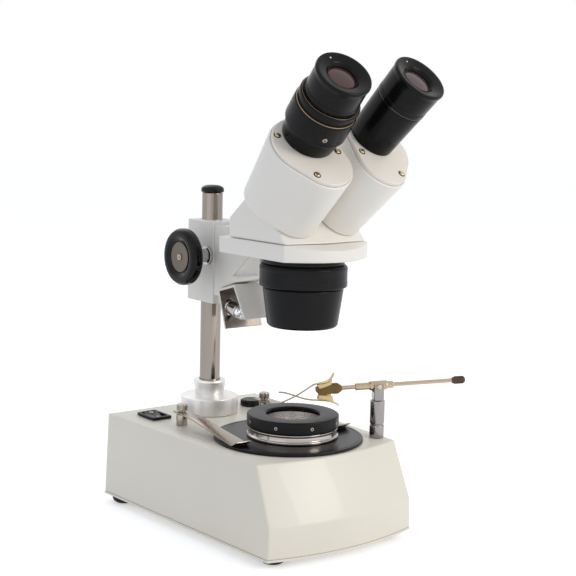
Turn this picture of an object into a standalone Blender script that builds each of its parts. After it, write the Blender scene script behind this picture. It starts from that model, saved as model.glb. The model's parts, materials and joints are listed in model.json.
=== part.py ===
"""Stereo microscope on an illuminated box base, with a dark-field ring and a wire gem clip.

Metres, +Z up. The origin is on the flat underside of the base, straight below the middle of the
stage. +Y is the back, where the pillar stands, and the user sits at -Y. X = 0 is the head's plane
of symmetry.
"""
import math

import bmesh
import bpy
from mathutils import Vector

MM = 0.001
GAP = 0.3 * MM                # between pieces that touch
CUT = 5 * MM                  # how far a cutter runs past a face

# Base
BASE_PLATE_T = 1.7 * MM
BASE_TOP = 55.5 * MM          # height of the housing's top face
BASE_WALL = 2.5 * MM
BASE_BACK_Y = 119.3 * MM
BASE_FRONT_TOP_Y = -40 * MM
BASE_FRONT_LOW_Y = -55 * MM
BASE_FRONT_BREAK_Z = 20.6 * MM
BASE_HALF_BACK = 61.9 * MM
BASE_HALF_FRONT = 54.8 * MM
BASE_DRAFT = 2.4 * MM         # how much wider each side is at the bottom
BASE_BULGE = 9 * MM           # rise of the front face's curve
FOOT_R = 8 * MM
FOOT_H = 4.8 * MM
PAD_RISE = 0.3 * MM           # the pressed middle of the bottom plate stands this proud
PAD_MARGIN = 2 * MM           # from the feet to that pressed middle
FOOT_FRONT = (44 * MM, -44 * MM)
FOOT_BACK = (55 * MM, 109 * MM)

# Stage
RING_AT = (2.1 * MM, -1.7 * MM)   # the dark-field unit sits a little off the plate's middle
PLATE_R = 47.5 * MM
PLATE_T = 1.8 * MM
CONDENSER_R = 29.2 * MM
CONDENSER_H = 6 * MM
RING_R = 29.3 * MM
RING_H = 7.9 * MM
RING_HOLE_R = 17.05 * MM
BOWL_R = 19.6 * MM
BOWL_DEPTH = 36 * MM
BOWL_WALL = 1 * MM
BULB_R = 6 * MM

# Switch, dimmer and inlet
SWITCH_X = -41 * MM
SWITCH_Y = 94 * MM
SWITCH_W = 15 * MM
SWITCH_L = 21 * MM
ROCKER_W = 10 * MM
ROCKER_L = 16 * MM
ROCKER_TILT = math.radians(9)
DIMMER_X = 35.5 * MM
DIMMER_Y = 88 * MM
DIMMER_R = 8 * MM
DIMMER_H = 4.2 * MM
INLET_X = 22 * MM
INLET_W = 27 * MM
INLET_H = 20 * MM
INLET_Z = 27 * MM

# Stage clips
CLIP_POSTS = {"left": (-38 * MM, 65 * MM), "right": (29.5 * MM, 65 * MM)}
CLIP_POST_R = 3.6 * MM
CLIP_POST_H = 14 * MM
CLIP_REACH = 74 * MM
BLADE_HALF_T = 0.4 * MM
CLIP_TURN = {"left": math.radians(-2.7), "right": math.radians(8)}

# Pillar
PILLAR_Y = 88.7 * MM
PILLAR_R = 7 * MM
PILLAR_TOP = 206.1 * MM
PILLAR_CAP_H = 5 * MM
FLANGE_R = 19.5 * MM
FLANGE_H = 11.5 * MM
COLLAR_R = 11 * MM
COLLAR_H = 22.8 * MM

# Focusing block, which slides on the pillar
BLOCK_HALF = 12.5 * MM
BLOCK_FRONT_Y = 69 * MM
BLOCK_BACK_Y = 99.3 * MM
BLOCK_Z = 133.5 * MM
BLOCK_H = 54.7 * MM
SHAFT_Y = 74.6 * MM
SHAFT_Z = 165.5 * MM
SHAFT_R = 3 * MM
SHAFT_BUSH_R = 6.2 * MM
PINION_R = 5.4 * MM
PINION_TEETH = 12
KNOB_R = 18.7 * MM
KNOB_T = 8.5 * MM
KNOB_X = 36.5 * MM            # outer face of each focusing knob
CLAMP_KNOB_R = 8 * MM
CLAMP_Z = 148 * MM

# Arm, which slides on the block
ARM_HALF = 11.8 * MM
ARM_BACK_T = 15 * MM
ARM_FRONT_Y = 17.5 * MM
GROOVE_HALF = 8 * MM
GROOVE_DEPTH = 5 * MM

# Lamp under the arm
LAMP_HALF = 15 * MM
LAMP_SHEET = 1.2 * MM
LAMP_BULB_R = 4.8 * MM
LAMP_X = -8 * MM
LAMP_DIP = math.radians(12)

# Nosepiece, which turns under the head
NOSE_Y = -10.4 * MM
NOSE_BOTTOM = 129.5 * MM
NOSE_X = 0.8 * MM
NOSE_BARREL_H = 24.8 * MM
NOSE_RING_H = 13.6 * MM
NOSE_RING_R = 27.4 * MM
NOSE_NECK_R = 25.4 * MM
OBJECTIVE_OFFSET = 11.6 * MM

# Head
HEAD_Z = 172.8 * MM           # underside of the head plate
HEAD_PLATE_T = 10 * MM
HEAD_PLATE_HALF = 33 * MM
HEAD_PLATE_BACK_Y = 37 * MM
HEAD_PLATE_FRONT_Y = -33 * MM
HEAD_PLATE_BULGE = 15 * MM
HEAD_BODY_HALF = 32 * MM
HEAD_BODY_BACK_Y = 24.5 * MM
HEAD_BODY_BACK_TOP = 195.5 * MM
HEAD_BODY_BACK_SLOPE = math.radians(38)
SEAT_TILT = math.radians(45)
SEAT_SPREAD = math.radians(5)
SEAT_HEIGHT = 220 * MM        # height of the seats' planes where they cross Y = 0, X = 0
HOUSING_X = 17.6 * MM         # each housing's turning axis, from X = 0, at its seat
HOUSING_UP = 85.7 * MM        # the same axis, measured up the seat from Z = base top
HOUSING_LEN = 48.1 * MM
HOUSING_LOW_R = 18.6 * MM
HOUSING_HIGH_R = 22.8 * MM
HOUSING_HIGH = (6 * MM, 13.5 * MM)
HOUSING_TAPER = 3 * MM        # how much slimmer each housing is at its seat
HOUSING_WALL = 2.5 * MM
SEAT_WALL = 3 * MM            # floor of each housing
PRISM_HALF = 9.5 * MM
PRISM_LOW = -8 * MM
PRISM_HIGH = 21 * MM
PRISM_LEN = 26 * MM
CAP_T = 2 * MM
CAP_INSET = 1.3 * MM
TUBE_OFFSET = (2.4 * MM, 19.1 * MM)
TUBE_R = 15.9 * MM
TUBE_FOOT_R = 14.6 * MM
TUBE_BORE_R = 12.3 * MM
RIGHT_TUBE_LEN = 31.5 * MM
LEFT_TUBE_R = 17.8 * MM
LEFT_TUBE_FOOT_R = 16.3 * MM
LEFT_TUBE_LEN = 10.3 * MM
DIOPTER_R = 19.1 * MM
DIOPTER_LEN = 22.6 * MM
EYEPIECE_R = 16.8 * MM
EYEPIECE_TOP = 51.8 * MM      # eye end of the eyepieces above the cap plates
EYE_LENS_R = 8.8 * MM

# Gem clip
CLIP_X = 49.5 * MM
CLIP_Y = -28.7 * MM
GEM_POST_R = 4.7 * MM
GEM_POST_H = 24 * MM
GEM_AXIS_H = 33.6 * MM        # rod's axis above the base top, over the post
GEM_DIP = math.radians(3.6)
SLEEVE_R = 3 * MM
SLEEVE_L = 11.4 * MM
INNER_R = 2.3 * MM
INNER_L = 24.6 * MM
ROD_R = 1.3 * MM


def reset():
    for obj in list(bpy.data.objects):
        bpy.data.objects.remove(obj, do_unlink=True)


def finish_mesh(name, bm, look, smooth=30):
    bmesh.ops.remove_doubles(bm, verts=bm.verts, dist=1e-7)
    bmesh.ops.recalc_face_normals(bm, faces=bm.faces)
    mesh = bpy.data.meshes.new(name)
    bm.to_mesh(mesh)
    bm.free()
    mesh.shade_smooth()
    mesh.set_sharp_from_angle(angle=math.radians(smooth))
    obj = bpy.data.objects.new(name, mesh)
    bpy.context.collection.objects.link(obj)
    if look:
        mesh.materials.append(material(name, *look))
    return obj


def material(name, colour, roughness, metallic):
    mat = bpy.data.materials.new(name)
    mat.use_nodes = True
    shader = mat.node_tree.nodes["Principled BSDF"]
    shader.inputs["Base Color"].default_value = (*colour, 1)
    shader.inputs["Roughness"].default_value = roughness
    shader.inputs["Metallic"].default_value = metallic
    mat.diffuse_color = (*colour, 1)
    return mat


def empty(name, location=(0, 0, 0), rotation=(0, 0, 0), parent=None):
    obj = bpy.data.objects.new(name, None)
    obj.location = location
    obj.rotation_euler = rotation
    obj.parent = parent
    bpy.context.collection.objects.link(obj)
    return obj


def place(obj, location=(0, 0, 0), rotation=(0, 0, 0), parent=None):
    obj.location = location
    obj.rotation_euler = rotation
    obj.parent = parent
    return obj


def turned(name, profile, look, segments=40):
    """A solid of revolution about Z. The profile is a closed loop of (radius, height)."""
    bm = bmesh.new()
    rings = []
    for radius, height in profile:
        if radius < 1e-9:
            rings.append([bm.verts.new((0, 0, height))])
            continue
        angles = [2 * math.pi * i / segments for i in range(segments)]
        rings.append([bm.verts.new((radius * math.cos(a), radius * math.sin(a), height)) for a in angles])
    for a, b in zip(rings, rings[1:] + rings[:1]):
        for i in range(segments):
            j = (i + 1) % segments
            corners = [a[i % len(a)], a[j % len(a)], b[j % len(b)], b[i % len(b)]]
            unique = list(dict.fromkeys(corners))
            if len(unique) > 2:
                bm.faces.new(unique)
    return finish_mesh(name, bm, look)


def rod(name, radius, z0, z1, look, segments=24, chamfer=0.0):
    profile = [(0, z0), (radius - chamfer, z0), (radius, z0 + chamfer), (radius, z1 - chamfer),
               (radius - chamfer, z1), (0, z1)]
    if not chamfer:
        profile = [(0, z0), (radius, z0), (radius, z1), (0, z1)]
    return turned(name, profile, look, segments)


def tube(name, radius, bore, z0, z1, look, segments=40, chamfer=0.0):
    profile = [(bore, z0), (radius, z0), (radius, z1 - chamfer), (radius - chamfer, z1), (bore, z1)]
    if not chamfer:
        profile = [(bore, z0), (radius, z0), (radius, z1), (bore, z1)]
    return turned(name, profile, look, segments)


def loft(name, sections, look, smooth=30):
    """A closed solid through sections with the same number of corners, capped at both ends."""
    bm = bmesh.new()
    rings = [[bm.verts.new(p) for p in section] for section in sections]
    for a, b in zip(rings, rings[1:]):
        for i in range(len(a)):
            j = (i + 1) % len(a)
            bm.faces.new((a[i], a[j], b[j], b[i]))
    bm.faces.new(rings[0])
    bm.faces.new(rings[-1])
    return finish_mesh(name, bm, look, smooth)


def prism(name, outline, z0, z1, look, smooth=30):
    return loft(name, [[(x, y, z) for x, y in outline] for z in (z0, z1)], look, smooth)


def side_prism(name, profile, half, look):
    """A solid of constant (y, z) profile, from -half to half along X."""
    return loft(name, [[(x, y, z) for y, z in profile] for x in (-half, half)], look)


def box(name, low, high, look):
    outline = [(low[0], low[1]), (high[0], low[1]), (high[0], high[1]), (low[0], high[1])]
    return prism(name, outline, low[2], high[2], look)


def rounded(half_x, half_y, radius, steps=4, centre=(0, 0)):
    """A rectangle with round corners, anticlockwise."""
    points = []
    for k, (sx, sy) in enumerate(((1, 1), (-1, 1), (-1, -1), (1, -1))):
        for i in range(steps + 1):
            a = math.pi / 2 * (k + i / steps)
            points.append((centre[0] + sx * (half_x - radius) + radius * math.cos(a),
                           centre[1] + sy * (half_y - radius) + radius * math.sin(a)))
    return points


def cut(obj, cutter):
    cutter.hide_render = True
    cutter.display_type = "WIRE"
    if cutter.parent is None and obj.parent is not None:
        cutter.parent = obj.parent
    boolean = obj.modifiers.new(cutter.name, "BOOLEAN")
    boolean.operation = "DIFFERENCE"
    boolean.solver = "EXACT"
    boolean.object = cutter
    return obj


def unite(obj, other):
    cut(obj, other).modifiers[-1].operation = "UNION"
    return obj


def bevel(obj, width, segments=1, angle=40):
    modifier = obj.modifiers.new("edge", "BEVEL")
    modifier.width = width
    modifier.segments = segments
    modifier.limit_method = "ANGLE"
    modifier.angle_limit = math.radians(angle)
    return obj


def strip(name, stations, look):
    """A bent strip. Each station is (along, side, height, half width, half thickness)."""
    sections = []
    for k, (s, y, z, width, thick) in enumerate(stations):
        before = stations[max(k - 1, 0)]
        after = stations[min(k + 1, len(stations) - 1)]
        run = Vector((after[0] - before[0], after[2] - before[2])).normalized()
        normal = (-run.y * thick, run.x * thick)
        sections.append([(s + a * normal[0], y + b * width, z + a * normal[1])
                         for a, b in ((-1, -1), (-1, 1), (1, 1), (1, -1))])
    return loft(name, sections, look)


CREAM = ((0.78, 0.76, 0.70), 0.45, 0)
CREAM_LIGHT = ((0.82, 0.79, 0.72), 0.45, 0)
GREY = ((0.62, 0.63, 0.64), 0.45, 0)
BLACK = ((0.02, 0.02, 0.022), 0.35, 0)
RUBBER = ((0.02, 0.02, 0.02), 0.8, 0)
CHROME = ((0.8, 0.8, 0.8), 0.12, 1)
ALUMINIUM = ((0.7, 0.7, 0.7), 0.35, 1)
STEEL = ((0.6, 0.6, 0.6), 0.3, 1)
BRASS = ((0.75, 0.6, 0.35), 0.3, 1)
BROWN = ((0.16, 0.09, 0.05), 0.4, 0.3)
GLASS = ((0.85, 0.9, 0.92), 0.05, 0)
WHITE = ((0.85, 0.85, 0.82), 0.5, 0)


def base_outline(level, inset=0.0):
    """The base's plan, from 0 at the bottom to 1 at the top, with a curved front."""
    front_z = BASE_FRONT_BREAK_Z / BASE_TOP
    lean = max(0.0, (level - front_z) / (1 - front_z))
    front_y = BASE_FRONT_LOW_Y + (BASE_FRONT_TOP_Y - BASE_FRONT_LOW_Y) * lean + inset
    half_back = BASE_HALF_BACK + BASE_DRAFT * (1 - level) - inset
    half_front = BASE_HALF_FRONT + BASE_DRAFT * (1 - level) * 0.8 - inset
    back_y = BASE_BACK_Y - inset
    steps = 12
    points = [(-half_back, back_y), (half_back, back_y)]
    for i in range(steps + 1):
        t = 1 - 2 * i / steps
        points.append((half_front * t, front_y - BASE_BULGE * (1 - t * t)))
    return points


def build_base():
    bottom = BASE_PLATE_T + GAP
    levels = (1.0, BASE_FRONT_BREAK_Z / BASE_TOP, bottom / BASE_TOP)
    sections = []
    for level in levels:
        sections.append([(x, y, BASE_TOP * level) for x, y in base_outline(level)])
    for level in reversed(levels):
        top = BASE_TOP * level - (BASE_WALL if level == 1.0 else 0)
        sections.append([(x, y, top) for x, y in base_outline(level, BASE_WALL)])
    housing = loft("base_housing", sections, CREAM)
    hole = BOWL_R + 4 * MM
    cut(housing, rod("cut_light", hole + 1 * MM, BASE_TOP - 10 * MM, BASE_TOP + 5 * MM, None, 32))
    switch = prism("cut_switch", rounded(SWITCH_W / 2 - 1 * MM, SWITCH_L / 2 - 1 * MM, 1 * MM, 2,
                                         (SWITCH_X, SWITCH_Y)), BASE_TOP - 9 * MM, BASE_TOP + 5 * MM,
                                         None)
    cut(housing, switch)
    cut(housing, place(rod("cut_dimmer", 3.4 * MM, 0, 20 * MM, None, 20),
                       (DIMMER_X, DIMMER_Y, BASE_TOP - 10 * MM)))
    inlet = box("cut_inlet", (INLET_X - INLET_W / 2, BASE_BACK_Y - 12 * MM, INLET_Z - INLET_H / 2),
                (INLET_X + INLET_W / 2, BASE_BACK_Y + 12 * MM, INLET_Z + INLET_H / 2), None)
    cut(housing, inlet)
    plate = prism("bottom_plate", base_outline(0), PAD_RISE, BASE_PLATE_T, BLACK)
    inner = min(FOOT_FRONT[0], FOOT_BACK[0]) - FOOT_R - PAD_MARGIN
    front = FOOT_FRONT[1] + FOOT_R + PAD_MARGIN
    back = FOOT_BACK[1] - FOOT_R - PAD_MARGIN
    unite(plate, box("pad", (-inner, front, 0), (inner, back, BASE_PLATE_T / 2), None))
    top = PAD_RISE - GAP
    corners = (("front_left", -1, FOOT_FRONT), ("front_right", 1, FOOT_FRONT),
               ("rear_left", -1, FOOT_BACK), ("rear_right", 1, FOOT_BACK))
    for label, side, (x, y) in corners:
        profile = [(0, top - FOOT_H), (0.45 * FOOT_R, top - FOOT_H)]
        for i in range(1, 4):
            a = math.pi / 2 * i / 4
            radius = FOOT_R * (0.45 + 0.55 * math.sin(a))
            profile.append((radius, top - FOOT_H * (0.12 + 0.88 * math.cos(a))))
        profile += [(FOOT_R, top - 0.12 * FOOT_H), (FOOT_R, top), (0, top)]
        place(turned("foot_" + label, profile, RUBBER, 16), (side * x, y, 0))


def build_stage():
    z = BASE_TOP + GAP
    tube("stage_plate", PLATE_R, BOWL_R + 4 * MM, z, z + PLATE_T, BLACK, 48, 0.4 * MM)
    z += PLATE_T + GAP
    profile = [(BOWL_R + 0.8 * MM, z), (CONDENSER_R - 0.8 * MM, z), (CONDENSER_R, z + 0.8 * MM),
               (CONDENSER_R, z + CONDENSER_H - 0.8 * MM), (CONDENSER_R - 0.8 * MM, z + CONDENSER_H),
               (BOWL_R + 0.8 * MM, z + CONDENSER_H)]
    place(turned("condenser_ring", profile, CHROME, 40), (*RING_AT, 0))
    z += CONDENSER_H + GAP
    step = BOWL_R + 0.8 * MM
    profile = [(step, z), (RING_R - 0.6 * MM, z), (RING_R, z + 0.6 * MM), (RING_R, z + RING_H - 0.8 * MM),
               (RING_R - 0.8 * MM, z + RING_H), (RING_HOLE_R, z + RING_H),
               (RING_HOLE_R, z + RING_H - 2 * MM),
               (step, z + RING_H - 3 * MM)]
    place(turned("darkfield_ring", profile, BLACK, 40), (*RING_AT, 0))
    rim = z + RING_H - 3.6 * MM
    low = rim - BOWL_DEPTH
    hole = BULB_R + 1.5 * MM
    steps = 5
    outside = []
    for i in range(steps + 1):
        t = i / steps
        outside.append((hole + (BOWL_R - hole) * math.sin(t * math.pi / 2), low + BOWL_DEPTH * t ** 1.6))
    inside = [(max(r - BOWL_WALL, hole - 0.5 * BOWL_WALL), z) for r, z in reversed(outside)]
    place(turned("reflector_bowl", outside + inside, CHROME, 24), (*RING_AT, 0))
    floor = BASE_PLATE_T + GAP
    socket_top = low - 2 * MM
    place(rod("base_lamp_socket", 9 * MM, floor, socket_top, WHITE, 24, 0.8 * MM), (*RING_AT, 0))
    glass = socket_top + GAP
    height = 26 * MM
    profile = [(0, glass), (BULB_R * 0.8, glass), (BULB_R * 0.8, glass + 7 * MM)]
    for i in range(6):
        a = -0.7 + (math.pi / 2 + 0.7) * i / 5
        if i < 5:
            profile.append((BULB_R * math.cos(a), glass + height - BULB_R + BULB_R * math.sin(a)))
    profile.append((0, glass + height))
    place(turned("base_bulb", profile, GLASS, 16), (*RING_AT, 0))


def build_switchgear():
    top = BASE_TOP + GAP
    neck = (SWITCH_W / 2 - 1.3 * MM, SWITCH_L / 2 - 1.3 * MM)
    flange = (SWITCH_W / 2, SWITCH_L / 2)
    levels = ((neck, -17 * MM), (neck, 0), (flange, 0), (flange, 1.8 * MM))
    bezel = loft("switch_housing", [[(x, y, h) for x, y in rounded(*size, 1.2 * MM, 3)] for size,
                                    h in levels],
                 BLACK)
    place(bezel, (SWITCH_X, SWITCH_Y, top))
    window = prism("cut_bezel", rounded(ROCKER_W / 2 + 0.5 * MM, ROCKER_L / 2 + 0.5 * MM, 0.8 * MM, 2),
                   -5 * MM, 5 * MM, None)
    cut(bezel, place(window, (SWITCH_X, SWITCH_Y, top)))
    half = ROCKER_L / 2 - 0.4 * MM
    crest = 2.6 * MM
    profile = [(-half, -3.5 * MM), (half, -3.5 * MM), (half, crest - 0.9 * MM),
               (half * 0.5, crest - 1.3 * MM),
               (0, crest - 1.5 * MM), (-half * 0.5, crest - 1.3 * MM), (-half, crest - 0.9 * MM)]
    rocker = side_prism("switch_rocker", profile, ROCKER_W / 2, BLACK)
    pivot = empty("rocker_axis", (SWITCH_X, SWITCH_Y, top), (ROCKER_TILT, 0, 0))
    place(rocker, parent=pivot)
    under = BASE_TOP - BASE_WALL - GAP
    pot = [(0, under - 9 * MM), (8 * MM, under - 9 * MM), (8 * MM, under), (2.9 * MM, under),
           (2.9 * MM, BASE_TOP + 1.2 * MM), (0, BASE_TOP + 1.2 * MM)]
    place(turned("dimmer_control", pot, STEEL, 16), (DIMMER_X, DIMMER_Y, 0))
    z = BASE_TOP + GAP
    bore = 3.2 * MM
    knob = [(bore, z), (DIMMER_R, z), (DIMMER_R, z + DIMMER_H - 1 * MM),
            (DIMMER_R - 1 * MM, z + DIMMER_H),
            (0, z + DIMMER_H), (0, z + 1.5 * MM), (bore, z + 1.5 * MM)]
    place(turned("dimmer_knob", knob, BLACK, 24), (DIMMER_X, DIMMER_Y, 0))
    floor = BASE_PLATE_T + GAP
    bevel(box("transformer", (-46 * MM, 62 * MM, floor), (-2 * MM, 100 * MM, floor + 30 * MM), STEEL),
          1 * MM)
    back = BASE_BACK_Y + GAP
    shell = [[(INLET_X + x, y, INLET_Z + z) for x, z in rounded(w, h, 2 * MM, 2)]
             for w, h, y in ((INLET_W / 2 - 1.5 * MM, INLET_H / 2 - 1.5 * MM, back - 18 * MM),
                             (INLET_W / 2 - 1.5 * MM, INLET_H / 2 - 1.5 * MM, back),
                             (INLET_W / 2 + 3 * MM, INLET_H / 2 + 3 * MM, back),
                             (INLET_W / 2 + 3 * MM, INLET_H / 2 + 3 * MM, back + 2 * MM))]
    inlet = loft("power_inlet", shell, BLACK)
    well = box("cut_well", (INLET_X - 9 * MM, back - 12 * MM, INLET_Z - 6 * MM),
               (INLET_X + 9 * MM, back + 6 * MM, INLET_Z + 6 * MM), None)
    cut(inlet, well)


def build_stage_clips():
    for label, (x, y) in CLIP_POSTS.items():
        z = BASE_TOP + GAP
        post = [(0, z), (CLIP_POST_R, z), (CLIP_POST_R, z + 7.2 * MM), (2 * MM, z + 7.2 * MM),
                (2 * MM, z + 9.6 * MM), (CLIP_POST_R, z + 9.6 * MM),
                (CLIP_POST_R, z + CLIP_POST_H - 0.8 * MM),
                (CLIP_POST_R - 0.8 * MM, z + CLIP_POST_H), (0, z + CLIP_POST_H)]
        place(turned("clip_post_" + label, post, CHROME, 16), (x, y, 0))
        high = z + 8.4 * MM
        low = z + PLATE_T + GAP + BLADE_HALF_T
        path = ((-5 * MM, high, 4.2 * MM), (8 * MM, high, 4.5 * MM),
                (CLIP_REACH * 0.3, high - 0.6 * MM, 4.6 * MM),
                (CLIP_REACH * 0.6, low + 2.6 * MM, 5 * MM), (CLIP_REACH * 0.9, low, 5.9 * MM),
                (CLIP_REACH * 0.95, low + 0.4 * MM, 6 * MM), (CLIP_REACH, low + 2.6 * MM, 5.6 * MM))
        stations = [(along, 0, height, half, BLADE_HALF_T) for along, height, half in path]
        blade = strip("clip_blade_" + label, stations, STEEL)
        place(blade, (x, y, 0), (0, 0, CLIP_TURN[label] - math.pi / 2))
        hole = place(rod("cut_blade_" + label, 2.3 * MM, z, z + 20 * MM, None, 20), (x, y, 0))
        cut(blade, hole)


def build_pillar():
    z = BASE_TOP + GAP
    bore = PILLAR_R + GAP
    profile = [(bore, z), (FLANGE_R - 1 * MM, z), (FLANGE_R, z + 1 * MM),
               (FLANGE_R, z + FLANGE_H - 1 * MM),
               (FLANGE_R - 1 * MM, z + FLANGE_H), (COLLAR_R - 1.4 * MM, z + FLANGE_H),
               (COLLAR_R - 1.4 * MM, z + FLANGE_H + 1 * MM), (COLLAR_R, z + COLLAR_H - 1 * MM),
               (COLLAR_R - 0.6 * MM, z + COLLAR_H), (bore, z + COLLAR_H)]
    place(turned("pillar_flange", profile, ALUMINIUM, 32), (0, PILLAR_Y, 0))
    axis = empty("pillar_axis", (0, PILLAR_Y, 0))
    place(rod("pillar", PILLAR_R, z, PILLAR_TOP, CHROME, 32, 0.6 * MM), parent=axis)
    z = PILLAR_TOP + GAP
    radius = PILLAR_R + 0.3 * MM
    profile = [(0, z), (radius, z), (radius, z + 0.3 * PILLAR_CAP_H)]
    for i in range(1, 4):
        a = math.pi / 2 * i / 4
        profile.append((radius * math.cos(a), z + PILLAR_CAP_H * (0.3 + 0.7 * math.sin(a))))
    profile.append((0, z + PILLAR_CAP_H))
    place(turned("pillar_cap", profile, BLACK, 24), parent=axis)
    return axis


def gear_outline(radius, root, teeth):
    points = []
    for i in range(teeth):
        for share, r in ((0.0, root), (0.3, root), (0.45, radius), (0.8, radius)):
            a = 2 * math.pi * (i + share) / teeth
            points.append((r * math.cos(a), r * math.sin(a)))
    return points


def build_focus(pillar_axis):
    carriage = empty("block_carriage", (0, 0, 0), parent=pillar_axis)
    shift = -PILLAR_Y            # the carriage's frame has its Z axis on the pillar
    front = BLOCK_FRONT_Y + shift
    back = BLOCK_BACK_Y + shift
    rail_in = 5 * MM
    rail_out = GROOVE_HALF - GAP
    tip = front - GROOVE_DEPTH + 2 * GAP
    outline = [(-BLOCK_HALF, front), (-rail_out, front), (-rail_out, tip), (-rail_in, tip),
               (-rail_in, front),
               (rail_in, front), (rail_in, tip), (rail_out, tip), (rail_out, front), (BLOCK_HALF, front),
               (BLOCK_HALF, back), (-BLOCK_HALF, back)]
    block = place(prism("focus_block", outline, BLOCK_Z, BLOCK_Z + BLOCK_H, GREY), parent=carriage)
    bore = place(rod("cut_pillar", PILLAR_R + GAP, BLOCK_Z - 5 * MM, BLOCK_Z + BLOCK_H + 5 * MM, None,
                     32),
                 parent=carriage)
    cut(block, bore)
    shaft_y = SHAFT_Y + shift
    chamber_back = -PILLAR_R - 1.2 * MM
    chamber = box("cut_chamber", (-rail_in + 0.2 * MM, front - 2 * MM, SHAFT_Z - PINION_R - 1 * MM),
                  (rail_in - 0.2 * MM, chamber_back, SHAFT_Z + PINION_R + 1 * MM), None)
    cut(block, place(chamber, parent=carriage))
    across = place(rod("cut_shaft", SHAFT_R + GAP, -30 * MM, 30 * MM, None, 24), (0, shaft_y, SHAFT_Z),
                   (0, math.pi / 2, 0), carriage)
    cut(block, across)
    screw = place(rod("cut_clamp", 2.3 * MM, 0, 30 * MM, None, 20), (0, 0, CLAMP_Z),
                  (-math.pi / 2, 0, 0), carriage)
    cut(block, screw)

    reach = back + GAP
    start = PILLAR_R + GAP
    profile = [(0, start), (2 * MM, start), (2 * MM, reach), (CLAMP_KNOB_R - 2 * MM, reach),
               (CLAMP_KNOB_R, reach + 3 * MM), (CLAMP_KNOB_R, reach + 12 * MM),
               (CLAMP_KNOB_R - 1 * MM, reach + 13 * MM), (0, reach + 13 * MM)]
    place(turned("clamp_knob", profile, BLACK, 20), (0, 0, CLAMP_Z), (-math.pi / 2, 0, 0), carriage)

    axle = empty("shaft_axis", (0, shaft_y, SHAFT_Z), (0, math.pi / 2, 0), carriage)
    bush = BLOCK_HALF + GAP
    hub = KNOB_X - KNOB_T - GAP
    end = KNOB_X - 2.5 * MM
    half = [(SHAFT_R, bush), (SHAFT_BUSH_R, bush), (SHAFT_BUSH_R, bush + 2 * MM),
            (4.6 * MM, bush + 2 * MM),
            (4.6 * MM, hub), (SHAFT_R, hub), (SHAFT_R, end)]
    gear = PINION_R * 0.78
    width = 4 * MM
    profile = [(0, -end)] + [(r, -z) for r, z in reversed(half)] + [(SHAFT_R, -width), (gear, -width),
              (gear, width), (SHAFT_R, width)] + half + [(0, end)]
    shaft = place(turned("pinion_shaft", profile, CHROME, 20), parent=axle)
    teeth = prism("pinion_teeth", gear_outline(PINION_R, PINION_R * 0.7, PINION_TEETH), -width, width,
                  None)
    place(teeth, parent=axle)
    teeth.hide_render = True
    teeth.display_type = "WIRE"
    join = shaft.modifiers.new("teeth", "BOOLEAN")
    join.operation = "UNION"
    join.solver = "EXACT"
    join.object = teeth
    for label, sign in (("left", -1), ("right", 1)):
        inner = KNOB_X - KNOB_T
        bore = SHAFT_R + GAP
        recess = 10.2 * MM
        profile = [(bore, inner), (KNOB_R - 1.2 * MM, inner), (KNOB_R, inner + 1.2 * MM),
                   (KNOB_R, KNOB_X - 1.4 * MM), (KNOB_R - 1.6 * MM, KNOB_X), (recess + 2.6 * MM, KNOB_X),
                   (recess, KNOB_X - 1.6 * MM), (0, KNOB_X - 1.6 * MM), (0, end + GAP), (bore, end + GAP)]
        profile = [(r, sign * z) for r, z in profile]
        place(turned("focus_knob_" + label, profile, BLACK, 32), parent=axle)
    return carriage


def build_arm(carriage):
    slide = empty("arm_slide", (0, -PILLAR_Y, 0), parent=carriage)
    back = BLOCK_FRONT_Y - GAP
    top = HEAD_Z - GAP
    plate_front = back - ARM_BACK_T
    low = BLOCK_Z + 6 * MM
    profile = [(back, low), (back, HEAD_Z + 13.5 * MM), (plate_front, HEAD_Z + 13.5 * MM),
               (plate_front, top),
               (ARM_FRONT_Y, top), (ARM_FRONT_Y, top - 16.5 * MM), (45 * MM, top - 21.8 * MM),
               (61 * MM, top - 27.4 * MM), (61 * MM, low)]
    arm = bevel(place(side_prism("focus_arm", profile, ARM_HALF, GREY), parent=slide), 0.8 * MM, 2)
    groove = box("cut_groove", (-GROOVE_HALF, back - GROOVE_DEPTH, low - 10 * MM),
                 (GROOVE_HALF, back + 5 * MM, HEAD_Z + 30 * MM), None)
    cut(arm, place(groove, parent=slide))
    for sign, label in ((-1, "left"), (1, "right")):
        depth = ARM_HALF - 1.6 * MM
        outline = [(48 * MM, top - 17.5 * MM), (30 * MM, top - 2.5 * MM), (20 * MM, top - 2.5 * MM),
                   (20 * MM, top - 14 * MM), (40 * MM, top - 17.5 * MM)]
        xs = sorted((sign * depth, sign * (ARM_HALF + 5 * MM)))
        recess = loft("cut_recess_" + label, [[(x, y, z) for y, z in outline] for x in xs], None)
        cut(arm, place(recess, parent=slide))
    # The rack's teeth face the pinion across a running gap.
    tip = SHAFT_Y - PINION_R - GAP
    root = tip - 1.4 * MM
    heel = back - GROOVE_DEPTH + GAP
    pitch = 2 * math.pi * PINION_R * 0.85 / PINION_TEETH
    z0 = low + 2 * MM
    z1 = HEAD_Z + 12 * MM
    count = int((z1 - z0) / pitch)
    points = [(heel, z0)]
    for i in range(count):
        z = z0 + i * pitch
        points += [(root, z), (tip, z + 0.3 * pitch), (tip, z + 0.6 * pitch), (root, z + 0.9 * pitch)]
    points += [(root, z0 + count * pitch), (heel, z0 + count * pitch)]
    place(side_prism("focus_rack", points, 3.4 * MM, BRASS), parent=slide)
    return slide


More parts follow.
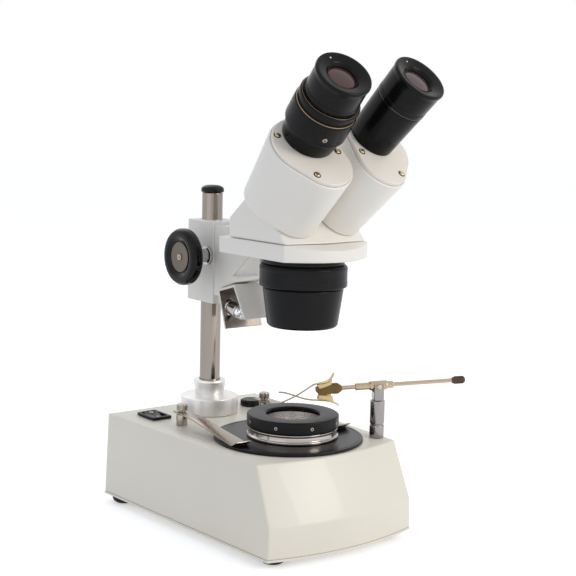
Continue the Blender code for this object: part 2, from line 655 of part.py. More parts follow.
def build_lamp(slide):
    """A folded sheet shade under the arm, open at both ends and below."""
    top = HEAD_Z - GAP
    back_top = Vector((59.5 * MM, top - 27.4 * MM))
    front_top = Vector((41.5 * MM, top - 22 * MM))
    front_low = Vector((28.4 * MM, top - 43 * MM))
    back_low = Vector((50.9 * MM, top - 52.6 * MM))
    outer = [back_low, back_top, front_top, front_low]
    middle = (back_top + front_top + front_low + back_low) / 4
    inner = []
    for k, p in enumerate(outer):
        if k in (1, 2):
            inner.append(p + (middle - p).normalized() * LAMP_SHEET * 1.5)
        else:
            mate = outer[1] if k == 0 else outer[2]
            across = (outer[3] - outer[0]).normalized() * (1 if k == 0 else -1)
            along = (mate - p).normalized()
            inner.append(p + (across - along * across.dot(along)).normalized() * LAMP_SHEET)
    down = Vector((0, -0.4 * MM))
    loop = [p + down for p in outer + list(reversed(inner))]
    shade = place(side_prism("lamp_shade", [(p.x, p.y) for p in loop], LAMP_HALF, CREAM_LIGHT),
                  parent=slide)
    # The holder goes through the shade's back wall, and the bulb looks forwards and down.
    axis = empty("lamp_axis", (LAMP_X, back_low.x + 1 * MM, back_low.y + 12.5 * MM),
                 (math.pi / 2 + LAMP_DIP, 0, 0),
                 slide)
    radius = LAMP_BULB_R
    profile = [(0, -9 * MM), (radius, -9 * MM), (radius, 7 * MM), (0, 7 * MM)]
    place(turned("lamp_socket", profile, STEEL, 20), parent=axis)
    cut(shade, place(rod("cut_holder", radius + GAP, -20 * MM, 3 * MM, None, 24), parent=axis))
    bulb = radius - 1 * MM
    profile = [(0, 7 * MM + GAP), (bulb, 7 * MM + GAP), (bulb, 11 * MM)]
    for i in range(1, 4):
        a = math.pi / 2 * i / 4
        profile.append((bulb * math.cos(a), 11 * MM + bulb * math.sin(a)))
    profile.append((0, 11 * MM + bulb))
    place(turned("lamp_bulb", profile, GLASS, 16), parent=axis)


def head_outline():
    points = []
    corner = 6 * MM
    for sx, start in ((1, 0), (-1, 1)):
        for i in range(4):
            a = math.pi / 2 * (start + i / 3)
            points.append((sx * (HEAD_PLATE_HALF - corner) + corner * math.cos(a),
                           HEAD_PLATE_BACK_Y - corner + corner * math.sin(a)))
    steps = 16
    for i in range(steps + 1):
        t = -1 + 2 * i / steps
        points.append((HEAD_PLATE_HALF * t, HEAD_PLATE_FRONT_Y - HEAD_PLATE_BULGE * (1 - t * t)))
    return points


def build_head(slide):
    plate = place(prism("head_plate", head_outline(), HEAD_Z, HEAD_Z + HEAD_PLATE_T, CREAM), parent=slide)
    # The front lip slopes down from the body's foot.
    run = HEAD_PLATE_BULGE + 6 * MM
    drop = 4.2 * MM
    brow = HEAD_PLATE_FRONT_Y - 0.5 * MM
    z = HEAD_Z + HEAD_PLATE_T
    wedge = [(brow, z), (brow, z + 5 * MM), (brow - run, z + 5 * MM), (brow - run, z - drop)]
    cut(plate, place(side_prism("cut_lip", wedge, HEAD_PLATE_HALF + 5 * MM, None), parent=slide))
    light = place(rod("cut_path", 17 * MM, HEAD_Z - 5 * MM, z + 5 * MM, None, 32), (NOSE_X, NOSE_Y, 0),
                  (0, 0, 0), slide)
    cut(plate, light)

    z += GAP
    back_top = HEAD_BODY_BACK_TOP
    slope = math.tan(HEAD_BODY_BACK_SLOPE)
    sections = []
    for x in (-HEAD_BODY_HALF, 0, HEAD_BODY_HALF):
        seat = SEAT_HEIGHT - abs(x) * math.tan(SEAT_SPREAD) / math.cos(SEAT_TILT)
        # The seat plane is z - y = seat, and the back slopes up from the back wall to meet it.
        ridge = (back_top + slope * HEAD_BODY_BACK_Y - seat) / (1 + slope)
        sections.append([(x, z - seat, z), (x, ridge, ridge + seat), (x, HEAD_BODY_BACK_Y, back_top),
                         (x, HEAD_BODY_BACK_Y, z)])
    body = bevel(place(loft("head_body", sections, GREY), parent=slide), 1.2 * MM, 2, 50)
    mouth = place(rod("cut_mouth", 14 * MM, z - 5 * MM, z + 16 * MM, None, 32), (NOSE_X, NOSE_Y, 0),
                  (0, 0, 0), slide)
    cut(body, mouth)


def housing_outline(side, inset=0.0, steps=8):
    """The convex outline round the low and the high circle, about the turning axis."""
    high = Vector((side * HOUSING_HIGH[0], HOUSING_HIGH[1]))
    r_low = HOUSING_LOW_R - inset
    r_high = HOUSING_HIGH_R - inset
    heading = math.atan2(high.y, high.x)
    spread = math.acos((r_low - r_high) / high.length)
    points = []
    for i in range(2 * steps + 1):
        a = heading - spread + 2 * spread * i / (2 * steps)
        points.append((high.x + r_high * math.cos(a), high.y + r_high * math.sin(a)))
    for i in range(2 * steps + 1):
        a = heading + spread + (2 * math.pi - 2 * spread) * i / (2 * steps)
        points.append((r_low * math.cos(a), r_low * math.sin(a)))
    return points


def housing_sections(side, levels):
    """The outline at each (height, inset)."""
    sections = []
    for z, inset in levels:
        sections.append([(x, y, z) for x, y in housing_outline(side, inset)])
    return sections


def build_eye_side(seat, label, side):
    axis = empty("housing_axis_" + label, (side * HOUSING_X, HOUSING_UP, 0), (0, side * SEAT_SPREAD, 0),
                 seat)
    z0 = GAP
    z1 = z0 + HOUSING_LEN
    sections = housing_sections(side, ((z0, HOUSING_TAPER), (z1, 0)))
    housing = place(loft("prism_housing_" + label, sections, CREAM, 25), parent=axis)
    bevel(housing, 1 * MM, 1, 60)
    low_wall = HOUSING_TAPER + HOUSING_WALL
    sections = housing_sections(side, ((z0 + SEAT_WALL, low_wall), (z1, HOUSING_WALL),
                                       (z1 + CUT, HOUSING_WALL)))
    cavity = loft("cut_cavity_" + label, sections, None)
    cut(housing, place(cavity, parent=axis))
    window = rod("cut_window_" + label, 8 * MM, z0 - CUT, z0 + CUT, None, 24)
    cut(housing, place(window, parent=axis))
    z = z1 + GAP
    cap = place(prism("end_cap_" + label, housing_outline(side, CAP_INSET), z, z + CAP_T, CREAM_LIGHT,
                      25),
                parent=axis)
    bevel(cap, 0.4 * MM, 1, 60)
    eye = empty("eye_axis_" + label, (side * TUBE_OFFSET[0], TUBE_OFFSET[1], 0), parent=axis)
    hole = rod("cut_cap_" + label, TUBE_BORE_R, z - CUT, z + CUT, None, 28)
    cut(cap, place(hole, parent=eye))
    floor = z0 + SEAT_WALL + GAP
    outline = [(-PRISM_HALF, PRISM_LOW), (PRISM_HALF, PRISM_LOW), (PRISM_HALF, PRISM_HIGH),
               (-PRISM_HALF, PRISM_HIGH)]
    glass = prism("prism_" + label, outline, floor, floor + PRISM_LEN, GLASS)
    bevel(place(glass, parent=axis), 2 * MM)

    z += CAP_T + GAP
    rim = z - GAP + EYEPIECE_TOP
    if label == "right":
        top = z + RIGHT_TUBE_LEN
        profile = [(TUBE_BORE_R, z), (TUBE_FOOT_R, z), (TUBE_R, top - 0.4 * MM), (TUBE_R - 0.4 * MM, top),
                   (TUBE_BORE_R, top)]
        place(turned("eyepiece_tube_right", profile, BLACK, 32), parent=eye)
        seat_z = top + GAP
    else:
        neck = 15 * MM
        profile = [(TUBE_BORE_R, z), (LEFT_TUBE_FOOT_R, z), (LEFT_TUBE_R, z + LEFT_TUBE_LEN),
                   (neck, z + LEFT_TUBE_LEN), (neck, z + LEFT_TUBE_LEN + 16 * MM),
                   (TUBE_BORE_R, z + LEFT_TUBE_LEN + 16 * MM)]
        place(turned("eyepiece_tube_left", profile, BLACK, 32), parent=eye)
        d = z + LEFT_TUBE_LEN + GAP
        profile = [(neck + GAP, d), (DIOPTER_R - 0.4 * MM, d), (DIOPTER_R, d + 1 * MM),
                   (DIOPTER_R, d + 15.3 * MM),
                   (DIOPTER_R - 0.6 * MM, d + 15.9 * MM), (DIOPTER_R - 1.7 * MM, d + 16.2 * MM),
                   (DIOPTER_R - 1.7 * MM, d + 19 * MM), (DIOPTER_R - 0.5 * MM, d + 19.3 * MM),
                   (DIOPTER_R - 0.5 * MM, d + DIOPTER_LEN - 0.5 * MM),
                   (DIOPTER_R - 1 * MM, d + DIOPTER_LEN),
                   (neck + GAP, d + DIOPTER_LEN)]
        place(turned("diopter_ring", profile, BLACK, 32), parent=eye)
        seat_z = d + DIOPTER_LEN + GAP
    foot_r = EYEPIECE_R - (0.7 * MM if label == "right" else 0.3 * MM)
    spigot = TUBE_BORE_R - GAP
    depth = 12 * MM
    profile = [(10 * MM, seat_z - depth), (spigot, seat_z - depth), (spigot, seat_z), (foot_r, seat_z),
               (EYEPIECE_R - 0.3 * MM, rim - 4 * MM), (EYEPIECE_R + 0.3 * MM, rim - 1.5 * MM),
               (EYEPIECE_R, rim - 0.3 * MM), (EYEPIECE_R - 1 * MM, rim),
               (EYEPIECE_R - 2.2 * MM, rim - 0.5 * MM),
               (EYE_LENS_R + 1.5 * MM, rim - 1.6 * MM), (EYE_LENS_R + 0.4 * MM, rim - 2.6 * MM),
               (EYE_LENS_R + 0.4 * MM, rim - 9 * MM)]
    place(turned("eyepiece_" + label, profile, BLACK, 28), parent=eye)


def build_eyes(slide):
    seat = empty("seat_frame", seat_origin(), (SEAT_TILT, 0, 0), slide)
    for label, side in (("left", -1), ("right", 1)):
        build_eye_side(seat, label, side)


def seat_origin():
    """The foot of the perpendicular from (0, 0, base top) to the seats' ridge line."""
    rise = SEAT_HEIGHT - BASE_TOP
    across = rise * math.sin(SEAT_TILT) - HOUSING_X * math.tan(SEAT_SPREAD)
    return (0, -across * math.sin(SEAT_TILT), BASE_TOP + across * math.cos(SEAT_TILT))


def build_nosepiece(slide):
    z = HEAD_Z - GAP
    neck = tube("nosepiece_neck", NOSE_NECK_R, 16 * MM,
                NOSE_BOTTOM + NOSE_BARREL_H + NOSE_RING_H + 2 * GAP, z,
                BLACK, 32)
    place(neck, (NOSE_X, NOSE_Y, 0), parent=slide)
    ring_z = NOSE_BOTTOM + NOSE_BARREL_H + GAP
    profile = [(16 * MM, ring_z), (NOSE_RING_R - 0.8 * MM, ring_z), (NOSE_RING_R, ring_z + 0.8 * MM),
               (NOSE_RING_R, ring_z + NOSE_RING_H - 0.8 * MM),
               (NOSE_RING_R - 0.8 * MM, ring_z + NOSE_RING_H),
               (16 * MM, ring_z + NOSE_RING_H)]
    place(turned("nosepiece_ring", profile, BLACK, 36), (NOSE_X, NOSE_Y, 0), parent=slide)
    top = NOSE_BOTTOM + NOSE_BARREL_H
    profile = [(0, NOSE_BOTTOM + 8 * MM), (0, NOSE_BOTTOM), (21.3 * MM, NOSE_BOTTOM),
               (22.2 * MM, NOSE_BOTTOM + 1 * MM),
               (25.2 * MM, top - 0.6 * MM), (24.6 * MM, top), (19 * MM, top),
               (19 * MM, NOSE_BOTTOM + 8 * MM)]
    barrel = place(turned("nosepiece_barrel", profile, BLACK, 36), (NOSE_X, NOSE_Y, 0), parent=slide)
    for k in range(4):
        a = math.pi / 2 * k
        radius = 8.4 * MM if k % 2 == 0 else 6.2 * MM
        port = rod("cut_objective_%d" % k, radius, NOSE_BOTTOM - 5 * MM, NOSE_BOTTOM + 12 * MM, None, 20)
        place(port, (NOSE_X + OBJECTIVE_OFFSET * math.cos(a), NOSE_Y + OBJECTIVE_OFFSET * math.sin(a),
                     0), parent=slide)
        cut(barrel, port)


def build_gem_clip():
    z = BASE_TOP + GAP
    profile = [(0, z), (GEM_POST_R, z), (GEM_POST_R, z + 8 * MM), (GEM_POST_R - 0.6 * MM, z + 8.3 * MM),
               (GEM_POST_R - 0.6 * MM, z + 8.9 * MM), (GEM_POST_R, z + 9.2 * MM),
               (GEM_POST_R, z + GEM_POST_H), (0, z + GEM_POST_H)]
    place(turned("gem_post", profile, CHROME, 20), (CLIP_X, CLIP_Y, 0))
    heading = math.atan2(-CLIP_Y, -CLIP_X)
    swivel = empty("gem_swivel", (CLIP_X, CLIP_Y, z + GEM_POST_H), (0, 0, heading))
    axis_z = GEM_AXIS_H - GEM_POST_H
    # The fork turns on the post, and its cheeks hold the sleeve's trunnion.
    cheek = SLEEVE_R + 0.4 * MM
    outer = GEM_POST_R
    yoke = [(-outer, GAP), (outer, GAP), (outer, axis_z + 1.5 * MM), (cheek, axis_z + 1.5 * MM),
            (cheek, axis_z - SLEEVE_R - 1.2 * MM), (-cheek, axis_z - SLEEVE_R - 1.2 * MM),
            (-cheek, axis_z + 1.5 * MM), (-outer, axis_z + 1.5 * MM)]
    half = 3.2 * MM
    fork = loft("gem_fork", [[(x, y, h) for y, h in yoke] for x in (-half, half)], CHROME)
    place(fork, parent=swivel)
    tilt = empty("gem_tilt", (0, 0, axis_z), (0, math.pi / 2 + GEM_DIP, 0), swivel)
    place(tube("gem_sleeve", SLEEVE_R, INNER_R + GAP, -SLEEVE_L / 2, SLEEVE_L / 2, CHROME, 20, 0.3 * MM),
          parent=tilt)
    place(tube("gem_inner_sleeve", INNER_R, ROD_R + 0.2 * MM, -INNER_L / 2 + 2.6 * MM,
               INNER_L / 2 + 2.6 * MM,
               STEEL, 16, 0.3 * MM), parent=tilt)
    head_at = 23.5 * MM
    place(rod("gem_rod", ROD_R, -48 * MM, head_at, STEEL, 12), parent=tilt)
    knob = [(0, -56.8 * MM), (1.6 * MM, -56.8 * MM), (2.5 * MM, -55.8 * MM), (2.5 * MM, -49.4 * MM),
            (1.7 * MM, -48 * MM - GAP), (0, -48 * MM - GAP)]
    place(turned("gem_rod_knob", knob, BROWN, 14), parent=tilt)
    flat = empty("gem_flat", (0, 0, 0), (0, -math.pi / 2, 0), tilt)
    # In the flat frame X runs along the rod to the stones and Z is up.
    grip = head_at + GAP
    corners = ((0, -2.4), (3, -3.4), (9.5, -3.4), (10.5, -6.3), (13.5, -6.3), (14.5, -2.9), (16.5, -1.4),
               (16.5, 1.4), (13, 3.2), (3, 3.4), (0, 2.4))
    outline = [(grip + x * MM, h * MM) for x, h in corners]
    head = loft("gem_clip_head", [[(x, y, h) for x, h in outline] for y in (-2.6 * MM, 2.6 * MM)], BROWN)
    place(bevel(head, 0.5 * MM), parent=flat)
    wire = 0.45 * MM
    upper = [(28.3, 0, 10, 2.2), (31, 0, 5.9, 2.4), (35, 0, 4.3, 2.2), (39.5, 0.6, 3.9, 1),
             (42.5, 1.3, 3.2, 0.45),
             (48, 1.3, 0, 0.45), (54, 1.3, -3.2, 0.45), (60, 1.3, -5.6, 0.45), (63, 1.3, -6.7, 0.45)]
    lower = [(26, 0, -11, 2.2), (30, 0, -8.6, 2.4), (35, 0, -7.2, 2.4), (40, -0.6, -7, 1),
             (43, -1.3, -6.8, 0.45),
             (48, -1.3, -5.6, 0.45), (54, -1.3, -3.2, 0.45), (60, -1.3, -1, 0.45),
             (64.4, -1.3, -0.3, 0.45)]
    for label, path in (("upper", upper), ("lower", lower)):
        stations = [(x * MM, y * MM, h * MM, half * MM, wire * 0.7 if half > 1 else wire)
                    for x, y, h, half in path]
        place(strip("gem_jaw_" + label, stations, BRASS), parent=flat)


def main():
    reset()
    build_base()
    build_stage()
    build_switchgear()
    build_stage_clips()
    pillar_axis = build_pillar()
    carriage = build_focus(pillar_axis)
    slide = build_arm(carriage)
    build_lamp(slide)
    build_head(slide)
    build_eyes(slide)
    build_nosepiece(slide)
    build_gem_clip()


main()
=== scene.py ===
import json
import math

import bmesh
import bpy
from mathutils import Matrix, Vector


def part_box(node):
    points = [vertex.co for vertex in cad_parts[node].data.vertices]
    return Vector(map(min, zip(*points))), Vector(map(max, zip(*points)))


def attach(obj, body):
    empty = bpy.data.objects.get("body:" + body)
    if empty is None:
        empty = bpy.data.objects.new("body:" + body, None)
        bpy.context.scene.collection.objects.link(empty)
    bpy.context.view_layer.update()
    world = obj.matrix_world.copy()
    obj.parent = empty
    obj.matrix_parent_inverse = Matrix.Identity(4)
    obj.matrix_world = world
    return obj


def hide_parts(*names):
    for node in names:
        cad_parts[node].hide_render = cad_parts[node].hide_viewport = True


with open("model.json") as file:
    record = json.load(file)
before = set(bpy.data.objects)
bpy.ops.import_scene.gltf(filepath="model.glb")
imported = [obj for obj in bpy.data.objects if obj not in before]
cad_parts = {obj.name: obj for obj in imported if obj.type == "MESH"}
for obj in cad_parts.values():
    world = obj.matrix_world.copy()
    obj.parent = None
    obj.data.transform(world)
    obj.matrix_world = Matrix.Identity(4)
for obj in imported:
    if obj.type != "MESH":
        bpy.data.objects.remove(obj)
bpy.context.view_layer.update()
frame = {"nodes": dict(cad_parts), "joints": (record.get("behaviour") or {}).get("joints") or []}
mm = 0.001
joints = {joint["name"]: joint for joint in frame["joints"]}
finished = []    # (object, body, replaced nodes, slot)
print("frame loaded")


# shader and node helpers

def addNode(tree, kind, settings=None, sockets=None):
    node = tree.nodes.new(kind)
    for key, value in (settings or {}).items():
        if key == "stops":
            ramp = node.color_ramp
            while len(ramp.elements) < len(value):
                ramp.elements.new(0.5)
            for element, (position, shade) in zip(ramp.elements, value):
                element.position = position
                element.color = (shade, shade, shade, 1)
        else:
            setattr(node, key, value)
    for key, value in (sockets or {}).items():
        if isinstance(value, Link):
            value = value.socket
        if isinstance(value, bpy.types.NodeSocket):
            tree.links.new(value, node.inputs[key])
        else:
            node.inputs[key].default_value = value
    return node


class Link:
    # A shader socket that takes part in sums.
    def __init__(self, tree, socket):
        self.tree = tree
        self.socket = socket

    def work(self, operation, first, second):
        node = addNode(self.tree, "ShaderNodeMath", {"operation": operation}, {0: first, 1: second})
        return Link(self.tree, node.outputs[0])

    def __add__(self, other):
        return self.work("ADD", self, other)

    def __radd__(self, other):
        return self.work("ADD", other, self)

    def __sub__(self, other):
        return self.work("SUBTRACT", self, other)

    def __rsub__(self, other):
        return self.work("SUBTRACT", other, self)

    def __mul__(self, other):
        return self.work("MULTIPLY", self, other)

    def __rmul__(self, other):
        return self.work("MULTIPLY", other, self)

    def __truediv__(self, other):
        return self.work("DIVIDE", self, other)


def linear(red, green, blue):
    return tuple(((c / 255 + 0.055) / 1.055) ** 2.4 for c in (red, green, blue)) + (1,)


class Finish:
    # One material, with its Principled shader and a coordinate to work from.
    def __init__(self, name, colour, roughness, metallic=0.0, at=None):
        self.material = bpy.data.materials.new(name)
        self.material.use_nodes = True
        self.tree = self.material.node_tree
        self.shader = self.tree.nodes["Principled BSDF"]
        self.set("Base Color", colour)
        self.set("Roughness", roughness)
        self.set("Metallic", metallic)
        self.coords = self.add("ShaderNodeTexCoord", output="Object")
        if at is not None:
            # The piece's own frame, with Z on its axis.
            sockets = {"Vector": self.coords, "Location": at.translation, "Rotation": at.to_euler()}
            self.coords = self.add("ShaderNodeMapping", {"vector_type": "TEXTURE"}, sockets)

    def add(self, kind, settings=None, sockets=None, output=0):
        return Link(self.tree, addNode(self.tree, kind, settings, sockets).outputs[output])

    def set(self, name, value):
        if isinstance(value, Link):
            self.tree.links.new(value.socket, self.shader.inputs[name])
        else:
            self.shader.inputs[name].default_value = value

    def noise(self, scale, detail=2.0, where=None):
        sockets = {"Vector": where or self.coords, "Scale": scale, "Detail": detail}
        return self.add("ShaderNodeTexNoise", None, sockets)

    def stretched(self, scale):
        return self.add("ShaderNodeMapping", None, {"Vector": self.coords, "Scale": scale})

    def lathed(self):
        # (radius, 0, height), so a pattern runs in rings round the axis
        parts = addNode(self.tree, "ShaderNodeSeparateXYZ", None, {0: self.coords})
        across = self.add("ShaderNodeCombineXYZ", None, {0: parts.outputs[0], 1: parts.outputs[1]})
        radius = self.add("ShaderNodeVectorMath", {"operation": "LENGTH"}, {0: across}, "Value")
        return self.add("ShaderNodeCombineXYZ", None, {0: radius, 2: parts.outputs[2]})

    def mix(self, factor, first, second):
        return self.add("ShaderNodeMix", {"data_type": "RGBA"}, {0: factor, 6: first, 7: second}, 2)

    def ramp(self, value, low, high):
        return self.add("ShaderNodeMapRange", None, {"Value": value, "From Min": low, "From Max": high})

    def bump(self, height, strength, distance):
        sockets = {"Strength": strength, "Distance": distance, "Height": height}
        self.set("Normal", self.add("ShaderNodeBump", None, sockets))


def shade(colour, factor):
    return tuple(c * factor for c in colour[:3]) + (1,)


def powderCoat(name, colour, peel=1.0):
    coat = Finish(name, colour, 0.42)
    cloud = coat.noise(14, 3)
    speck = coat.ramp(coat.noise(1700, 1), 0.62, 0.72)
    base = coat.mix(cloud, shade(colour, 0.955), shade(colour, 1.02))
    coat.set("Base Color", coat.mix(speck * 0.12, base, shade(colour, 0.72)))
    coat.set("Roughness", 0.34 + coat.noise(40, 3) * 0.16)
    grain = coat.noise(1100, 2) + coat.noise(3200, 1) * 0.4
    coat.bump(grain, 0.16 * peel, 0.0002)
    coat.set("Coat Weight", 0.12 + coat.noise(25, 1) * 0.08)
    return coat.material


def blackSatin(name, at=None, roughness=0.3, sheen=0.04, level=0.004):
    # Anodised and painted black, with the faint rings of turning where it has an axis.
    tone = (level, level, level * 1.08, 1)
    paint = Finish(name, tone, roughness, 0.0, at)
    rings = paint.noise(1500, 2, paint.lathed()) if at is not None else paint.noise(900, 2)
    dust = paint.ramp(paint.noise(60, 4), 0.5, 0.75)
    paint.set("Base Color", paint.mix(dust * 0.5, tone, shade(tone, 2.1)))
    paint.set("Roughness", (roughness - 0.06) + rings * 0.08 + dust * 0.06)
    paint.set("Coat Weight", sheen * 0.6 + rings * sheen * 0.4)
    paint.set("Specular IOR Level", 0.12)
    paint.bump(paint.noise(2400, 1) + rings * 0.6, 0.06, 0.0001)
    return paint.material


def plastic(name, colour, roughness, grain=1.0, shine=0.5):
    moulded = Finish(name, colour, roughness)
    moulded.set("Specular IOR Level", shine)
    haze = moulded.noise(35, 3)
    moulded.set("Base Color", moulded.mix(haze, shade(colour, 0.85), shade(colour, 1.3)))
    moulded.set("Roughness", (roughness - 0.05) + haze * 0.12)
    moulded.bump(moulded.noise(2600, 2), 0.18 * grain, 0.00015)
    return moulded.material


def turnedMetal(name, colour, roughness, at, rings=0.1, marks=1500):
    metal = Finish(name, colour, roughness, 1.0, at)
    lines = metal.noise(marks, 3, metal.lathed())
    smudge = metal.noise(70, 3)
    metal.set("Base Color", metal.mix(smudge, shade(colour, 0.9), colour))
    metal.set("Roughness", (roughness - rings * 0.5) + lines * rings + smudge * 0.06)
    metal.bump(lines, min(1, rings * 3), 0.00006)
    return metal.material


def brushedMetal(name, colour, roughness, stretch):
    metal = Finish(name, colour, roughness, 1.0)
    lines = metal.noise(1, 4, metal.stretched(stretch))
    smudge = metal.noise(60, 3)
    metal.set("Base Color", metal.mix(smudge, shade(colour, 0.86), colour))
    metal.set("Roughness", (roughness - 0.08) + lines * 0.18 + smudge * 0.05)
    metal.bump(lines, 0.25, 0.00008)
    return metal.material


def lensGlass(name, at, glow):
    # Coated glass over a dark tube: a tinted ring round a darker middle. The tinted ring is a painted
    # reflection of the coating.
    glass = Finish(name, (0.02, 0.015, 0.015, 1), 0.04, 0.0, at)
    parts = addNode(glass.tree, "ShaderNodeSeparateXYZ", None, {0: glass.lathed()})
    radius = Link(glass.tree, parts.outputs[0])
    ring = glass.ramp(radius, 0.0035, 0.0085)
    cloud = glass.noise(160, 2)
    # painted reflection: the glow colour goes into the base colour in a ring
    glass.set("Base Color", glass.mix(ring * 0.8 + cloud * 0.2, (0.055, 0.03, 0.03, 1), glow))
    glass.set("Roughness", 0.03 + cloud * 0.03)
    glass.set("Coat Weight", 0.2)
    glass.set("Specular IOR Level", 0.3)
    return glass.material


# shape helpers, lengths in mm inside a piece's own frame

def frameOn(origin, along, up):
    z = Vector(along).normalized()
    x = Vector(up).cross(z).normalized()
    turn = Matrix((x, z.cross(x), z)).transposed().to_4x4()
    return Matrix.Translation(Vector(origin)) @ turn


def standing(x, y, z=0.0):
    return Matrix.Translation((x * mm, y * mm, z * mm))


def spun(degrees, axis="Z"):
    return Matrix.Rotation(math.radians(degrees), 4, axis)


def quarterArc(radius, height, rise, steps):
    # Points between the ends of a quarter ellipse that closes on the axis.
    turn = [i / steps * math.pi / 2 for i in range(1, steps)]
    return [(radius * math.cos(a), height + rise * math.sin(a)) for a in turn]


def smoothed(mesh, angle=35):
    mesh.shade_smooth()
    mesh.set_sharp_from_angle(angle=math.radians(angle))
    return mesh


def rawObject(name, bm, at, material, angle=35):
    bmesh.ops.remove_doubles(bm, verts=bm.verts, dist=1e-7)
    bmesh.ops.recalc_face_normals(bm, faces=bm.faces)
    mesh = bpy.data.meshes.new(name)
    bm.to_mesh(mesh)
    bm.free()
    mesh.transform(at)
    smoothed(mesh, angle)
    obj = bpy.data.objects.new(name, mesh)
    bpy.context.scene.collection.objects.link(obj)
    if material:
        mesh.materials.append(material)
    return obj


def keep(obj, body, nodes=(), slotName=None):
    finished.append((obj, body, nodes, slotName or (nodes[0] if nodes else None)))
    return obj


def applyAll(obj):
    bpy.context.view_layer.update()
    graph = bpy.context.evaluated_depsgraph_get()
    mesh = bpy.data.meshes.new_from_object(obj.evaluated_get(graph))
    obj.modifiers.clear()
    obj.data = mesh
    return mesh


def settle(obj, angle=35):
    # Applies the modifiers and drops the cutters.
    cutters = [m.object for m in obj.modifiers if m.type == "BOOLEAN"]
    smoothed(applyAll(obj), angle)
    for cutter in cutters:
        bpy.data.objects.remove(cutter)
    return obj


def softCorners(corners, closed, steps=4):
    # Rounds each corner that gives a third number, its fillet.
    points = []
    for i, corner in enumerate(corners):
        here = Vector(corner[:2])
        if len(corner) < 3 or (not closed and i in (0, len(corners) - 1)):
            points.append(here)
            continue
        before = Vector(corners[i - 1][:2]) - here
        after = Vector(corners[(i + 1) % len(corners)][:2]) - here
        reach = min(corner[2], before.length * 0.45, after.length * 0.45)
        a = here + before.normalized() * reach
        b = here + after.normalized() * reach
        for k in range(steps + 1):
            t = k / steps
            points.append(a * (1 - t) ** 2 + here * 2 * t * (1 - t) + b * t * t)
    return points


def lathe(name, corners, at=Matrix(), material=None, segments=96, angle=35):
    # corners are (radius, height) or (radius, height, fillet), in order round the section,
    # which is closed unless it starts on the axis
    bm = bmesh.new()
    rings = []
    closed = corners[0][0] > 0
    for radius, height in softCorners(corners, closed):
        if radius < 1e-6:
            rings.append([bm.verts.new((0, 0, height * mm))])
            continue
        wide = radius * mm
        turn = [2 * math.pi * i / segments for i in range(segments)]
        rings.append([bm.verts.new((wide * math.cos(a), wide * math.sin(a), height * mm)) for a in turn])
    pairs = list(zip(rings, rings[1:]))
    if closed:
        pairs.append((rings[-1], rings[0]))
    for a, b in pairs:
        for i in range(segments):
            j = (i + 1) % segments
            corner = [a[i % len(a)], a[j % len(a)], b[j % len(b)], b[i % len(b)]]
            corner = list(dict.fromkeys(corner))
            if len(corner) > 2:
                bm.faces.new(corner)
    return rawObject(name, bm, at, material, angle)


def loft(name, sections, at, material, angle=35):
    bm = bmesh.new()
    rings = [[bm.verts.new((x * mm, y * mm, z * mm)) for x, y, z in section] for section in sections]
    for a, b in zip(rings, rings[1:]):
        for i in range(len(a)):
            j = (i + 1) % len(a)
            bm.faces.new((a[i], a[j], b[j], b[i]))
    bm.faces.new(rings[0])
    bm.faces.new(rings[-1])
    return rawObject(name, bm, at, material, angle)


def stack(name, levels, at=Matrix(), material=None, angle=35):
    # Each level is an outline and its height.
    return loft(name, [[(x, y, z) for x, y in outline] for outline, z in levels], at, material, angle)


def slab(name, outline, low, high, at=Matrix(), material=None):
    return stack(name, ((outline, low), (outline, high)), at, material)


def sideSlab(name, profile, half, at=Matrix(), material=None, shift=0.0):
    return loft(name, [[(x + shift, y, z) for y, z in profile] for x in (-half, half)], at, material)


def block(name, low, high, at=Matrix(), material=None):
    outline = [(low[0], low[1]), (high[0], low[1]), (high[0], high[1]), (low[0], high[1])]
    return slab(name, outline, low[2], high[2], at, material)


def softEdges(obj, width, segments=3, angle=30):
    bevel = obj.modifiers.new("softEdges", "BEVEL")
    bevel.width = width * mm
    bevel.segments = segments
    bevel.limit_method = "ANGLE"
    bevel.angle_limit = math.radians(angle)
    return obj


def cut(obj, cutter):
    boolean = obj.modifiers.new("opening", "BOOLEAN")
    boolean.operation = "DIFFERENCE"
    boolean.solver = "EXACT"
    boolean.object = cutter
    return obj


def roundBox(halfX, halfY, radius, centre=(0, 0), steps=6):
    points = []
    for k, (sx, sy) in enumerate(((1, 1), (-1, 1), (-1, -1), (1, -1))):
        for i in range(steps + 1):
            a = math.pi / 2 * (k + i / steps)
            points.append((centre[0] + sx * (halfX - radius) + radius * math.cos(a),
                           centre[1] + sy * (halfY - radius) + radius * math.sin(a)))
    return points


def throughPoints(points, steps=6):
    # A smooth run through rows of numbers.
    run = []
    for i in range(len(points) - 1):
        p0 = Vector(points[max(i - 1, 0)])
        p1 = Vector(points[i])
        p2 = Vector(points[i + 1])
        p3 = Vector(points[min(i + 2, len(points) - 1)])
        for k in range(steps):
            t = k / steps
            run.append(0.5 * (2 * p1 + (p2 - p0) * t + (2 * p0 - 5 * p1 + 4 * p2 - p3) * t ** 2
                              + (3 * p1 - p0 - 3 * p2 + p3) * t ** 3))
    run.append(Vector(points[-1]))
    return run


def bentStrip(name, stations, thickness, at, material, steps=6):
    # Each station is (along, side, height, half width).
    run = throughPoints(stations, steps)
    sections = []
    for k, (along, side, height, half) in enumerate(run):
        before = run[max(k - 1, 0)]
        after = run[min(k + 1, len(run) - 1)]
        heading = Vector((after[0] - before[0], after[2] - before[2])).normalized() * thickness / 2
        sections.append([(along - a * heading.y, side + b * half, height + a * heading.x)
                         for a, b in ((-1, -1), (-1, 1), (1, 1), (1, -1))])
    return loft(name, sections, at, material)


# node trees for what repeats and for bent wire

